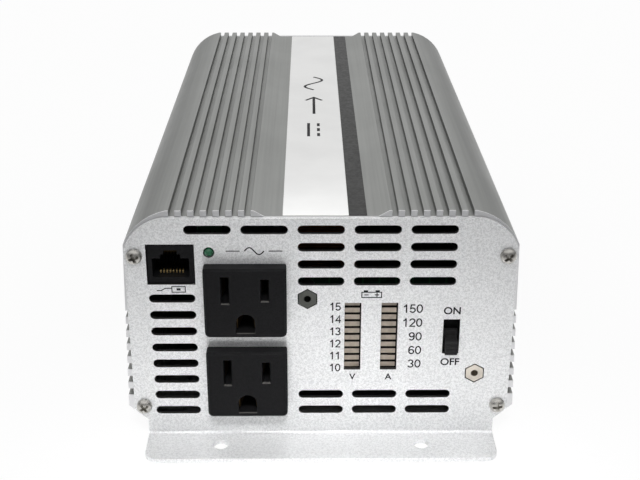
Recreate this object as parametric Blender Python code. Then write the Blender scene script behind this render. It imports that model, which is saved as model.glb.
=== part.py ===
"""Power inverter: finned aluminium case, stamped end panels, outlets, meters, switch and cooling fan.

Metres, +Z up. The front panel faces -Y, and the origin lies on the floor under the middle of the case.
"""
import math

import bmesh
import bpy
from mathutils import Matrix, Vector

# Fit between pieces that touch
FIT = 0.0003

# Vent slots, which set the grid of the front panel
VENT_LENGTH = 0.0150
VENT_HEIGHT = 0.0029
VENT_COLUMN_GAP = 0.0030
VENT_ROW_PITCH = 0.00603
VENT_ROWS = 12
VENT_COLUMNS = 3
UPPER_ROWS = 4
LEFT_ROWS = 8
LOWER_ROWS = 2
LOWEST_ROW_Z = 0.0107

# Margins of the front panel
LEFT_MARGIN = 0.0072
RIGHT_MARGIN = 0.0195
TOP_MARGIN = 0.0038
OUTLET_SIDE_GAP = 0.0030
FIELD_GAP = 0.0036

# Sheet panels and their feet
SHEET = 0.0015
BEND_RADIUS = 0.0015
FOOT_REACH = 0.0154
FOOT_STEP = 0.0043
FOOT_CORNER_RADIUS = 0.0045
FOOT_HOLE_DIAMETER = 0.0051
FOOT_HOLE_SPAN = 0.0674
FOOT_HOLE_REACH = 0.0072
NOTCH_Z = 0.0069
PANEL_SHOULDER_INSET = 0.0014

# Case extrusion
CASE_LENGTH = 0.2360
CASE_FLOOR = 0.0008
RIB_HEIGHT = 0.0020
RIB_GROOVES = 7
RIB_PITCH = 0.0040
RIB_GROOVE_WIDTH = 0.00185
RIB_FIRST = 0.0233
RIB_LAND = 0.0009
RECESS_SLOPE = 0.0035
RECESS_LAND = 0.0009
SHOULDER_DROP = 0.0118
SHOULDER_BULGE = 0.0023
FIN_REACH = 0.0023
FLANK_LAND = 0.0004
FIN_GROOVES = 7
FIN_PITCH = 0.00493
FIN_GROOVE_HEIGHT = 0.0023
FIN_FIRST_Z = 0.0168
CHINE_TOP_Z = 0.0113
CHINE_RUN = 0.0117
SIDE_WALL = 0.0025
TOP_WALL = 0.0023
INNER_CHAMFER = 0.0075
PORT_BLOCK = 0.0036
PORT_SLOT = 0.0016
JAW = 0.0016
JAW_LAP = 0.0050
JAW_WALL = 0.0010
BASE_THICKNESS = 0.0020
RAIL_REACH = 0.0030
RAIL_THICKNESS = 0.0014

# Screws
PANEL_SCREW_INSET = 0.0033
PANEL_SCREW_DROP = 0.0129
PANEL_SCREW_RISE = 0.0017
PANEL_SCREW_HEAD = 0.0052
PANEL_SCREW_SHANK = 0.0026
PANEL_SCREW_LENGTH = 0.0120

# Outlets
OUTLET_WIDTH = 0.0265
OUTLET_HEIGHT = 0.0245
OUTLET_SPACING = 0.00565
OUTLET_PROUD = 0.0048
OUTLET_LIP = 0.00095
OUTLET_DEPTH = 0.0140
OUTLET_EDGE = 0.0007
OUTLET_TOP_CORNER = 0.0007
OUTLET_LOW_CORNER = 0.0016
OUTLET_WALL = 0.0030
BLADE_DROP = 0.0075
BLADE_SPAN = 0.0127
BLADE_SLOT = 0.0022
BLADE_FLARE = 0.0009
NEUTRAL_HEIGHT = 0.0100
LIVE_HEIGHT = 0.0083
GROUND_DROP = 0.0119
GROUND_WIDTH = 0.0061
GROUND_HEIGHT = 0.0070
CHAMBER_WIDTH = 0.0052
CONTACT_SHEET = 0.0006
CONTACT_TAB = 0.0080
LATCH_REACH = 0.0010
LATCH_LENGTH = 0.0080

# Remote jack and status light
JACK_WIDTH = 0.0148
JACK_HEIGHT = 0.0135
JACK_DEPTH = 0.0160
JACK_RECESS = 0.0005
JACK_CAVITY_WIDTH = 0.0118
JACK_CAVITY_HEIGHT = 0.0066
JACK_CAVITY_DEPTH = 0.0115
JACK_FLOOR = 0.0021
JACK_LATCH_STEP = 0.0014
JACK_LATCH_WIDTH = 0.0064
JACK_WAYS = 8
JACK_WAY_PITCH = 0.00102
JACK_WIRE = 0.00045
LED_DIAMETER = 0.0030
LED_INSET = 0.00185
LED_DROP = 0.0078
LED_PROUD = 0.0012
LED_LEAD = 0.0005

# Display board, bar displays and slide switch
BOARD_THICKNESS = 0.0016
CONTROL_RISE = 0.0008
STANDOFF_LENGTH = 0.0090
STANDOFF_HEX = 0.0057
STANDOFF_BARREL = 0.0050
STANDOFF_BORE = 0.0024
STANDOFF_MARGIN = 0.01165
STANDOFF_RISE = 0.0279
STANDOFF_OFFSET = 0.0067
BOARD_MARGIN = 0.0040
BAR_WIDTH = 0.0101
BAR_HEIGHT = 0.0254
BAR_OFFSET = 0.0104
BAR_SPACING = 0.0120
BAR_SEGMENTS = 10
BAR_GROOVE = 0.0006
BAR_GROOVE_DEPTH = 0.0005
BAR_SETBACK = 0.0005
WINDOW_WIDTH = 0.0054
WINDOW_HEIGHT = 0.0249
SWITCH_OFFSET = 0.00685
SWITCH_SLOT_WIDTH = 0.0054
SWITCH_SLOT_HEIGHT = 0.0127
SWITCH_WIDTH = 0.0084
SWITCH_WALL = 0.0015
KNOB_WIDTH = 0.0040
KNOB_HEIGHT = 0.0052
KNOB_PROUD = 0.0027
KNOB_STOP = 0.0004
SLIDER_SKIRT = 0.0020
SLIDER_THICKNESS = 0.0020
BOARD_SCREW_HEAD = 0.0040
BOARD_SCREW_SHANK = 0.0018
BOARD_SCREW_LENGTH = 0.0060

# Cooling fan, guard and its screws
FAN_SIZE = 0.0600
FAN_DEPTH = 0.0150
FAN_BORE = 0.0570
FAN_FLANGE = 0.0030
FAN_CORNER = 0.0040
FAN_HOLE_SPAN = 0.0500
FAN_HOLE = 0.0043
FAN_Z = 0.0415
FAN_HUB = 0.0260
FAN_STRUT = 0.0040
FAN_STRUT_DEPTH = 0.0025
FAN_STRUTS = 4
FAN_BEARING = 0.0080
FAN_SHAFT = 0.0030
FAN_OPENING = 0.0560
ROTOR_INSET = 0.0012
ROTOR_GAP = 0.0009
ROTOR_WALL = 0.0015
BLADES = 7
BLADE_CHORD = 0.0115
BLADE_THICKNESS = 0.0013
BLADE_CAMBER = 0.0010
BLADE_ROOT_PITCH = 48.0
BLADE_TIP_PITCH = 30.0
BLADE_TIP_GAP = 0.0010
GUARD_WIRE = 0.0018
GUARD_RINGS = 3
GUARD_RING_PITCH = 0.0080
GUARD_EYE = 0.0066
FAN_SCREW_HEAD = 0.0070
FAN_SCREW_SHANK = 0.0034
FAN_SCREW_LENGTH = 0.0110

# Direct-current terminals
TERMINAL_X = 0.0465
TERMINAL_FLANGE = 0.0200
TERMINAL_FLANGE_DEPTH = 0.0032
TERMINAL_NECK = 0.0130
TERMINAL_NECK_DEPTH = 0.0030
TERMINAL_STUD = 0.0080
TERMINAL_REACH = 0.0146
TERMINAL_COLLAR = 0.0140
TERMINAL_COLLAR_DEPTH = 0.0030
TERMINAL_TAIL = 0.0050
NUT_ACROSS = 0.0130
NUT_HEIGHT = 0.0060

# Main board and what stands on it
BOARD_FRONT_GAP = 0.0460
BOARD_FAN_GAP = 0.0080
CORE_WIDTH = 0.0420
CORE_DEPTH = 0.0200
CORE_HEIGHT = 0.0360
CORE_YOKE = 0.0060
CORE_LEG = 0.0120
WINDING_DEPTH = 0.0075
WINDING_ROUND = 0.0050
CAPACITOR_DIAMETER = 0.0220
CAPACITOR_HEIGHT = 0.0360
CAPACITOR_SPACING = 0.0300
CHOKE_RING = 0.0240
CHOKE_WIRE = 0.0110
TRANSISTOR_WIDTH = 0.0155
TRANSISTOR_HEIGHT = 0.0200
TRANSISTOR_DEPTH = 0.0048
TRANSISTOR_TAB = 0.0016
TRANSISTOR_RISE = 0.0090
TRANSISTOR_PITCH = 0.0240
TRANSISTOR_LEAD = 0.0010
CLAMP_SHEET = 0.0016
CLAMP_HEIGHT = 0.0080
CLAMP_FOOT = 0.0060

# Number of straight steps in round outlines
FINE = 32
ROUND = 16
SMALL = 10
WIRE_SIDES = 5

# Places that follow from the sizes
VENT_PITCH = VENT_LENGTH + VENT_COLUMN_GAP
FIELD_WIDTH = VENT_COLUMNS * VENT_PITCH - VENT_COLUMN_GAP
PANEL_HALF = (LEFT_MARGIN + VENT_LENGTH + OUTLET_SIDE_GAP + OUTLET_WIDTH
              + FIELD_GAP + FIELD_WIDTH + RIGHT_MARGIN) / 2
LEFT_X = -PANEL_HALF + LEFT_MARGIN + VENT_LENGTH / 2
OUTLET_X = LEFT_X + VENT_LENGTH / 2 + OUTLET_SIDE_GAP + OUTLET_WIDTH / 2
FIELD_X = OUTLET_X + OUTLET_WIDTH / 2 + FIELD_GAP + VENT_LENGTH / 2
HALF_LENGTH = CASE_LENGTH / 2
INSIDE = HALF_LENGTH + FIT
OUTSIDE = INSIDE + SHEET


def row_z(row):
    """Height of a vent row, counted down from the top one."""
    return LOWEST_ROW_Z + (VENT_ROWS - 1 - row) * VENT_ROW_PITCH


PANEL_TOP = row_z(0) + TOP_MARGIN
CASE_TOP = PANEL_TOP + RIB_HEIGHT
FLANK_LOW = PANEL_HALF + FIN_REACH
FLANK_HIGH = PANEL_HALF + FLANK_LAND
SHOULDER_Z = CASE_TOP - SHOULDER_DROP
SHOULDER_X = RIB_FIRST + (RIB_GROOVES - 1) * RIB_PITCH + RIB_GROOVE_WIDTH / 2 + RIB_LAND
INNER_HALF = PANEL_HALF - SIDE_WALL
INNER_TOP = PANEL_TOP - TOP_WALL
SCREW_X = PANEL_HALF - PANEL_SCREW_INSET
SCREW_HIGH_Z = PANEL_TOP - PANEL_SCREW_DROP
SCREW_LOW_Z = LOWEST_ROW_Z + PANEL_SCREW_RISE
BLOCK_X = SCREW_X - PORT_BLOCK
FOOT_HALF = PANEL_HALF - FOOT_STEP
BASE_Z = CASE_FLOOR + JAW + FIT
BASE_SLOT_X = FLANK_LOW - CHINE_RUN - JAW_WALL
RAIL_Z = SCREW_LOW_Z + PORT_BLOCK
MAIN_BOARD_Z = RAIL_Z + RAIL_THICKNESS + FIT
MAIN_BOARD_TOP = MAIN_BOARD_Z + BOARD_THICKNESS
LOWER_OUTLET_Z = LOWEST_ROW_Z + OUTLET_HEIGHT / 2
UPPER_OUTLET_Z = LOWER_OUTLET_Z + OUTLET_HEIGHT + OUTLET_SPACING
JACK_Z = row_z(2)
JACK_FRONT = -OUTSIDE + JACK_RECESS
REMOTE_BOARD_Y = JACK_FRONT + JACK_DEPTH + FIT
LED_X = OUTLET_X - OUTLET_WIDTH / 2 + LED_INSET
LED_Z = row_z(0) - LED_DROP
CONTROL_Z = (row_z(UPPER_ROWS - 1) + row_z(VENT_ROWS - LOWER_ROWS)) / 2 + CONTROL_RISE
STANDOFF_X = OUTLET_X + OUTLET_WIDTH / 2 + STANDOFF_OFFSET
STANDOFF_SPAN = PANEL_HALF - STANDOFF_MARGIN - STANDOFF_X
DISPLAY_X = STANDOFF_X + STANDOFF_SPAN / 2
DISPLAY_BOARD_Y = -INSIDE + STANDOFF_LENGTH + FIT
BAR_X = FIELD_X + BAR_OFFSET
SWITCH_X = FIELD_X + (VENT_COLUMNS - 1) * VENT_PITCH + SWITCH_OFFSET
KNOB_TRAVEL = SWITCH_SLOT_HEIGHT - KNOB_HEIGHT - 2 * KNOB_STOP
KNOB_Z = CONTROL_Z - KNOB_TRAVEL / 2
BOARD_FRONT = -HALF_LENGTH + BOARD_FRONT_GAP
BOARD_REAR = HALF_LENGTH - FAN_DEPTH - BOARD_FAN_GAP
BLADE_STATIONS = 5


def clear_scene():
    """Start from an empty scene."""
    for item in list(bpy.data.objects):
        bpy.data.objects.remove(item, do_unlink=True)


def finish(name, colour, roughness, metallic):
    """Make a plain Principled material."""
    material = bpy.data.materials.new(name)
    material.use_nodes = True
    shader = material.node_tree.nodes["Principled BSDF"]
    shader.inputs["Base Color"].default_value = (*colour, 1.0)
    shader.inputs["Roughness"].default_value = roughness
    shader.inputs["Metallic"].default_value = metallic
    return material


def mesh_from(shape):
    """Turn an edited shape into a mesh whose faces point out."""
    bmesh.ops.recalc_face_normals(shape, faces=shape.faces)
    mesh = bpy.data.meshes.new("shape")
    shape.to_mesh(mesh)
    shape.free()
    return mesh


def prism(outline, axis, start, end):
    """Extrude a flat outline along X (outline in y, z), Y (x, z) or Z (x, y)."""
    def place(u, v, w):
        return {"X": (w, u, v), "Y": (u, w, v), "Z": (u, v, w)}[axis]

    shape = bmesh.new()
    near = [shape.verts.new(place(u, v, start)) for u, v in outline]
    far = [shape.verts.new(place(u, v, end)) for u, v in outline]
    shape.faces.new(near)
    shape.faces.new(far)
    for i, vertex in enumerate(near):
        shape.faces.new((vertex, near[i - 1], far[i - 1], far[i]))
    return mesh_from(shape)


def loft(rings):
    """Skin a row of rings that have equal numbers of points, and cap both ends."""
    shape = bmesh.new()
    rows = [[shape.verts.new(point) for point in ring] for ring in rings]
    shape.faces.new(rows[0])
    shape.faces.new(rows[-1])
    for near, far in zip(rows, rows[1:]):
        for i, vertex in enumerate(near):
            shape.faces.new((vertex, near[i - 1], far[i - 1], far[i]))
    return mesh_from(shape)


def revolve(profile, steps, closed=False):
    """Spin a profile of (radius, height) pairs about Z. A closed profile makes a ring."""
    shape = bmesh.new()
    points = [shape.verts.new((radius, 0, height)) for radius, height in profile]
    edges = [shape.edges.new(pair) for pair in zip(points, points[1:])]
    if closed:
        edges.append(shape.edges.new((points[-1], points[0])))
    bmesh.ops.spin(shape, geom=points + edges, cent=(0, 0, 0), axis=(0, 0, 1),
                   angle=2 * math.pi, steps=steps, use_merge=False)
    bmesh.ops.remove_doubles(shape, verts=shape.verts, dist=0.000001)
    return mesh_from(shape)


def moved(mesh, place=(0, 0, 0), turn=0.0, axis="X"):
    """Turn a mesh about an axis through the origin, then carry it to its place."""
    mesh.transform(Matrix.Translation(place) @ Matrix.Rotation(turn, 4, axis))
    return mesh


def facing(mesh, direction, place):
    """Lay a shape made along +Z so that its top faces along Y in the given direction."""
    return moved(mesh, place, -direction * math.pi / 2, "X")


def together(meshes):
    """Hold several meshes in one, as separate bodies."""
    shape = bmesh.new()
    for mesh in meshes:
        shape.from_mesh(mesh)
    return mesh_from(shape)


def combine(body, tool, operation):
    """Boolean one closed mesh with another and return the new mesh."""
    items = [bpy.data.objects.new("shape", mesh) for mesh in (body, tool)]
    for item in items:
        bpy.context.scene.collection.objects.link(item)
    modifier = items[0].modifiers.new("combine", "BOOLEAN")
    modifier.operation = operation
    modifier.object = items[1]
    graph = bpy.context.evaluated_depsgraph_get()
    result = bpy.data.meshes.new_from_object(items[0].evaluated_get(graph))
    for item in items:
        bpy.data.objects.remove(item, do_unlink=True)
    return result


def cut(body, *tools):
    """Take tools out of a body."""
    return combine(body, together(tools), "DIFFERENCE")


def join(body, *tools):
    """Fuse tools that don't meet each other to a body."""
    return combine(body, together(tools), "UNION")


def add(name, mesh, material, origin=(0, 0, 0), crease=35.0):
    """Make a named piece with its own origin, smooth where its faces meet gently."""
    mesh.name = name
    mesh.transform(Matrix.Translation(-Vector(origin)))
    mesh.materials.clear()
    mesh.materials.append(material)
    mesh.shade_smooth()
    mesh.set_sharp_from_angle(angle=math.radians(crease))
    piece = bpy.data.objects.new(name, mesh)
    piece.location = origin
    bpy.context.scene.collection.objects.link(piece)
    return piece


def arc(centre, radius, start, end, steps):
    """Points along an arc, with angles in degrees."""
    angles = [math.radians(start + (end - start) * i / steps) for i in range(steps + 1)]
    return [(centre[0] + radius * math.cos(a), centre[1] + radius * math.sin(a)) for a in angles]


def bulge(start, end, rise, steps):
    """Points of a shallow arc from start to end that rises to the left of its chord."""
    chord = Vector(end) - Vector(start)
    side = Vector((-chord.y, chord.x)).normalized()
    radius = (chord.length ** 2 / 4 + rise ** 2) / (2 * rise)
    centre = (Vector(start) + Vector(end)) / 2 + side * (rise - radius)
    first = math.atan2(start[1] - centre.y, start[0] - centre.x)
    last = math.atan2(end[1] - centre.y, end[0] - centre.x)
    return arc(centre, radius, math.degrees(first), math.degrees(last), steps)


def circle(x, z, diameter, steps):
    """Points round a circle."""
    return arc((x, z), diameter / 2, 0, 360, steps)[:-1]


def rounded(x, z, width, height, radii, steps=4):
    """Rectangle with rounded corners: radii of the right top, left top, left low and right low one."""
    outline = []
    sides = ((1, 1), (-1, 1), (-1, -1), (1, -1))
    for quarter, ((sx, sz), radius) in enumerate(zip(sides, radii)):
        centre = (x + sx * (width / 2 - radius), z + sz * (height / 2 - radius))
        outline += arc(centre, radius, 90 * quarter, 90 * quarter + 90, steps)
    return outline


def rectangle(x, z, width, height):
    """Rectangle about its middle."""
    return [(x + sx * width / 2, z + sz * height / 2) for sx, sz in ((-1, -1), (1, -1), (1, 1), (-1, 1))]


def block(low, high):
    """Box between two corners."""
    outline = [(low[0], low[2]), (high[0], low[2]), (high[0], high[2]), (low[0], high[2])]
    return prism(outline, "Y", low[1], high[1])


def stadium(x, z, length, height):
    """Slot with round ends."""
    reach = (length - height) / 2
    return (arc((x + reach, z), height / 2, -90, 90, 6)
            + arc((x - reach, z), height / 2, 90, 270, 6))


def hexagon(x, z, across):
    """Hexagon with a corner at the top."""
    return arc((x, z), across / math.sqrt(3), 90, 450, 6)[:-1]


def mirrored(half):
    """Close a right half of an outline with its mirror image."""
    return half + [(-x, z) for x, z in reversed(half)]


def screw_port(z):
    """Inner edge of a screw port, from below its slot to above it."""
    radius = PANEL_SCREW_SHANK / 2 + FIT
    half_slot = math.degrees(math.asin(PORT_SLOT / 2 / radius))
    mouth = [(BLOCK_X, z - PORT_SLOT / 2)]
    return mouth + arc((SCREW_X, z), radius, half_slot - 180, 180 - half_slot, 10) + [
        (BLOCK_X, z + PORT_SLOT / 2)]


def flank_x(z):
    """Half width of the case at the tips of its side fins."""
    share = (z - CHINE_TOP_Z) / (SHOULDER_Z - CHINE_TOP_Z)
    return FLANK_LOW + (FLANK_HIGH - FLANK_LOW) * share


def case_outline():
    """Right half of the extruded section, outside from the top recess down, then inside back up."""
    rim = RIB_FIRST - RIB_GROOVE_WIDTH / 2 - RECESS_LAND
    half = [(rim - RECESS_SLOPE, PANEL_TOP), (rim, CASE_TOP)]
    for groove in range(RIB_GROOVES):
        near = RIB_FIRST + groove * RIB_PITCH - RIB_GROOVE_WIDTH / 2
        far = near + RIB_GROOVE_WIDTH
        half += [(near, CASE_TOP), (near, PANEL_TOP), (far, PANEL_TOP), (far, CASE_TOP)]
    half += bulge((SHOULDER_X, CASE_TOP), (FLANK_HIGH, SHOULDER_Z), SHOULDER_BULGE, 7)
    for groove in reversed(range(FIN_GROOVES)):
        low = FIN_FIRST_Z + groove * FIN_PITCH - FIN_GROOVE_HEIGHT / 2
        high = low + FIN_GROOVE_HEIGHT
        half += [(flank_x(high), high), (PANEL_HALF, high), (PANEL_HALF, low), (flank_x(low), low)]
    slot_low = CASE_FLOOR + JAW
    slot_high = slot_low + BASE_THICKNESS + 2 * FIT
    jaw_x = BASE_SLOT_X - JAW_LAP
    half += [(FLANK_LOW, CHINE_TOP_Z), (FLANK_LOW - CHINE_RUN, CASE_FLOOR), (jaw_x, CASE_FLOOR),
             (jaw_x, slot_low), (BASE_SLOT_X, slot_low), (BASE_SLOT_X, slot_high), (jaw_x, slot_high),
             (jaw_x, slot_high + JAW), (BLOCK_X, slot_high + JAW)]
    half += screw_port(SCREW_LOW_Z)
    rail_x = INNER_HALF - RAIL_REACH
    slot = MAIN_BOARD_TOP + FIT
    half += [(BLOCK_X, RAIL_Z), (rail_x, RAIL_Z), (rail_x, MAIN_BOARD_Z - FIT),
             (INNER_HALF, MAIN_BOARD_Z - FIT), (INNER_HALF, slot), (rail_x, slot),
             (rail_x, slot + RAIL_THICKNESS), (INNER_HALF, slot + RAIL_THICKNESS),
             (INNER_HALF, SCREW_HIGH_Z - PORT_BLOCK), (BLOCK_X, SCREW_HIGH_Z - PORT_BLOCK)]
    half += screw_port(SCREW_HIGH_Z)
    slope = SHOULDER_DROP / (FLANK_HIGH - SHOULDER_X)
    half += [(BLOCK_X, INNER_TOP - INNER_CHAMFER * slope), (BLOCK_X - INNER_CHAMFER, INNER_TOP)]
    return mirrored(half)


def panel_sheet():
    """Front end panel before its openings are cut: a sheet whose lower edge is bent out as a foot."""
    outer = BEND_RADIUS + SHEET
    centre = (-INSIDE - outer, outer)
    toe = -OUTSIDE - FOOT_REACH
    section = [(-INSIDE, PANEL_TOP)] + arc(centre, outer, 0, -90, 6) + [(toe, 0), (toe, SHEET)]
    section += arc(centre, BEND_RADIUS, -90, 0, 6) + [(-OUTSIDE, PANEL_TOP)]
    sheet = prism(section, "X", -PANEL_HALF, PANEL_HALF)
    chine = FOOT_STEP * (CHINE_TOP_Z - CASE_FLOOR) / CHINE_RUN
    shoulder = bulge((SHOULDER_X + PANEL_SHOULDER_INSET, PANEL_TOP),
                     (PANEL_HALF, SHOULDER_Z - PANEL_SHOULDER_INSET / 2), SHOULDER_BULGE, 8)
    edge = shoulder + [(PANEL_HALF, NOTCH_Z + chine), (FOOT_HALF, NOTCH_Z), (FOOT_HALF, -SHEET)]
    sheet = combine(sheet, prism(mirrored(edge), "Y", toe - SHEET, -INSIDE + SHEET), "INTERSECT")
    corner = (FOOT_HALF - FOOT_CORNER_RADIUS, toe + FOOT_CORNER_RADIUS)
    plan = arc(corner, FOOT_CORNER_RADIUS, -90, 0, 6)
    plan += [(FOOT_HALF, -INSIDE - outer), (PANEL_HALF + SHEET, -INSIDE - outer),
             (PANEL_HALF + SHEET, -INSIDE + SHEET)]
    return combine(sheet, prism(mirrored(plan), "Z", -SHEET, CASE_TOP), "INTERSECT")


def through(outline):
    """Cutter through the front panel."""
    return prism(outline, "Y", -OUTSIDE - SHEET, -INSIDE + SHEET)


def panel_holes():
    """Cutters that both end panels share: the corner screws and the holes in the foot."""
    tools = [through(circle(sx * SCREW_X, z, PANEL_SCREW_SHANK + 2 * FIT, SMALL))
             for sx in (-1, 1) for z in (SCREW_LOW_Z, SCREW_HIGH_Z)]
    foot_y = -OUTSIDE - FOOT_HOLE_REACH
    tools += [prism(circle(sx * FOOT_HOLE_SPAN / 2, foot_y, FOOT_HOLE_DIAMETER, ROUND),
                    "Z", -SHEET, 2 * SHEET) for sx in (-1, 1)]
    return tools


def vent_cutters():
    """Vent slots: a full row at the top, fields above and below the meters, and the left column."""
    places = [(FIELD_X + column * VENT_PITCH, row_z(0)) for column in range(-2, VENT_COLUMNS)]
    lower = range(VENT_ROWS - LOWER_ROWS, VENT_ROWS)
    places += [(FIELD_X + column * VENT_PITCH, row_z(row))
               for row in [*range(1, UPPER_ROWS), *lower] for column in range(VENT_COLUMNS)]
    places += [(LEFT_X, row_z(row)) for row in range(VENT_ROWS - LEFT_ROWS, VENT_ROWS)]
    return [through(stadium(x, z, VENT_LENGTH, VENT_HEIGHT)) for x, z in places]


def front_panel():
    """Front panel with vents, outlet cut-outs, jack, light, meter windows, switch slot and hex holes."""
    width = OUTLET_WIDTH - 2 * OUTLET_LIP + 2 * FIT
    height = OUTLET_HEIGHT - 2 * OUTLET_LIP + 2 * FIT
    tools = panel_holes() + vent_cutters()
    tools += [through(rectangle(OUTLET_X, z, width, height)) for z in (LOWER_OUTLET_Z, UPPER_OUTLET_Z)]
    tools.append(through(rectangle(LEFT_X, JACK_Z, JACK_WIDTH + 2 * FIT, JACK_HEIGHT + 2 * FIT)))
    tools.append(through(circle(LED_X, LED_Z, LED_DIAMETER + 2 * FIT, ROUND)))
    tools += [through(rectangle(BAR_X + i * BAR_SPACING, CONTROL_Z, WINDOW_WIDTH, WINDOW_HEIGHT))
              for i in range(2)]
    tools.append(through(rectangle(SWITCH_X, CONTROL_Z, SWITCH_SLOT_WIDTH, SWITCH_SLOT_HEIGHT)))
    tools += [through(hexagon(x, z, STANDOFF_HEX + 2 * FIT)) for x, z in standoff_places()]
    return cut(panel_sheet(), *tools)


def rear_panel():
    """Rear panel with the fan opening, the fan's screw holes and the terminal holes."""
    tools = panel_holes()
    tools.append(through(circle(0, FAN_Z, FAN_OPENING, FINE)))
    tools += [through(circle(x, z, FAN_SCREW_SHANK + 2 * FIT, SMALL)) for x, z in fan_screw_places()]
    tools += [through(circle(sx * TERMINAL_X, FAN_Z, TERMINAL_NECK + 2 * FIT, ROUND)) for sx in (-1, 1)]
    return moved(cut(panel_sheet(), *tools), turn=math.pi, axis="Z")


def standoff_places():
    """Middles of the two hex standoffs, at opposite corners of the display board."""
    return [(STANDOFF_X, CONTROL_Z + STANDOFF_RISE / 2),
            (STANDOFF_X + STANDOFF_SPAN, CONTROL_Z - STANDOFF_RISE / 2)]


def fan_screw_places():
    """Middles of the four fan screws."""
    half = FAN_HOLE_SPAN / 2
    return [(sx * half, FAN_Z + sz * half) for sz in (-1, 1) for sx in (-1, 1)]


def pan_screw(head, shank, length):
    """Pan-head screw along +Z with a tapered cross recess, the underside of its head at zero."""
    rise = head * 0.36
    profile = [(0, rise), (head * 0.28, rise * 0.93), (head * 0.45, rise * 0.58), (head / 2, rise * 0.1),
               (head / 2, 0), (shank / 2, 0), (shank / 2, -length), (0, -length)]
    rings = []
    for arm, width, z in ((0.34, 0.10, rise * 1.2), (0.20, 0.05, rise * 0.3)):
        reach, side = head * arm, head * width
        quarter = [(reach, -side), (reach, side), (side, side)]
        ring = []
        for turn in range(4):
            spin = Matrix.Rotation(turn * math.pi / 2, 2)
            ring += [(*(spin @ Vector(point)), z) for point in quarter]
        rings.append(ring)
    return cut(revolve(profile, SMALL), loft(rings))


def outlet(z):
    """Snap-in outlet: drafted face, body with latches, flared blade slots and open contact chambers."""
    seat, face = -OUTSIDE - FIT, -OUTSIDE - OUTLET_PROUD
    rings = []
    for y, inset in ((seat, 0), (face + OUTLET_EDGE, 0), (face, OUTLET_EDGE)):
        radii = [max(r - inset, 0.0002) for r in (OUTLET_TOP_CORNER,) * 2 + (OUTLET_LOW_CORNER,) * 2]
        ring = rounded(OUTLET_X, z, OUTLET_WIDTH - 2 * inset, OUTLET_HEIGHT - 2 * inset, radii, 3)
        rings.append([(x, y, height) for x, height in ring])
    body_width, body_height = OUTLET_WIDTH - 2 * OUTLET_LIP, OUTLET_HEIGHT - 2 * OUTLET_LIP
    rear = -INSIDE + OUTLET_DEPTH
    trunk = rectangle(OUTLET_X, z, body_width, body_height)
    body = join(loft(rings), prism(trunk, "Y", face + OUTLET_EDGE, rear))
    latches = []
    for side in (-1, 1):
        wall = OUTLET_X + side * body_width / 2
        catch = -INSIDE + FIT
        wedge = [(wall - side * LATCH_REACH, catch), (wall + side * LATCH_REACH, catch),
                 (wall, catch + OUTLET_DEPTH / 3), (wall - side * LATCH_REACH, catch + OUTLET_DEPTH / 3)]
        latches.append(prism(wedge, "Z", z - LATCH_LENGTH / 2, z + LATCH_LENGTH / 2))
    body = join(body, *latches)
    tools = []
    for x, slot_z, width, height, chamber in outlet_holes(z):
        tools.append(prism(rectangle(x, slot_z, chamber, height), "Y", face + OUTLET_WALL, rear + FIT))
    body = cut(body, *tools)
    mouths = []
    for x, slot_z, width, height, _ in outlet_holes(z):
        if width == GROUND_WIDTH:
            arch = arc((x, slot_z + (height - width) / 2), width / 2, 0, 180, 10)
            mouth = arch + [(x - width / 2, slot_z - height / 2), (x + width / 2, slot_z - height / 2)]
            mouths.append(prism(mouth, "Y", face - FIT, face + OUTLET_WALL + FIT))
            continue
        flared = []
        for y, grow in ((face - FIT, BLADE_FLARE), (face + BLADE_FLARE, 0), (face + OUTLET_WALL + FIT, 0)):
            mouth = rectangle(x, slot_z, width + grow, height - BLADE_FLARE + grow)
            flared.append([(u, y, v) for u, v in mouth])
        mouths.append(loft(flared))
    return cut(body, *mouths)


def outlet_holes(z):
    """Middle, width, height and chamber width of the neutral, live and ground openings of an outlet."""
    line = z + OUTLET_HEIGHT / 2 - BLADE_DROP
    return [(OUTLET_X - BLADE_SPAN / 2, line, BLADE_SLOT, NEUTRAL_HEIGHT, CHAMBER_WIDTH),
            (OUTLET_X + BLADE_SPAN / 2, line, BLADE_SLOT, LIVE_HEIGHT, CHAMBER_WIDTH),
            (OUTLET_X, line - GROUND_DROP, GROUND_WIDTH, GROUND_HEIGHT, GROUND_WIDTH + 4 * FIT)]


def outlet_contact(x, z, width, height, chamber):
    """Sprung brass fork that grips a blade, with a tab out of the back of the outlet."""
    front = -OUTSIDE - OUTLET_PROUD + OUTLET_WALL + 2 * FIT
    rear = -INSIDE + OUTLET_DEPTH - 2 * FIT
    wide = chamber / 2 - FIT
    grip = width / 4
    sheet = CONTACT_SHEET
    mid = front + (rear - front) * 0.45
    outer = [(wide, front), (grip + sheet, mid), (wide, rear - 2 * sheet), (wide, rear)]
    tab = [(sheet, rear), (sheet, rear + CONTACT_TAB)]
    inner = [(wide - sheet, rear - sheet), (wide - sheet, rear - 2 * sheet),
             (grip, mid), (wide - sheet, front)]
    half = outer + tab
    outline = half + [(-u, v) for u, v in reversed(half)]
    outline += [(-u, v) for u, v in reversed(inner)] + inner
    tall = height / 2 - FIT
    return prism([(x + u, v) for u, v in outline], "Z", z - tall, z + tall)


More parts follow.
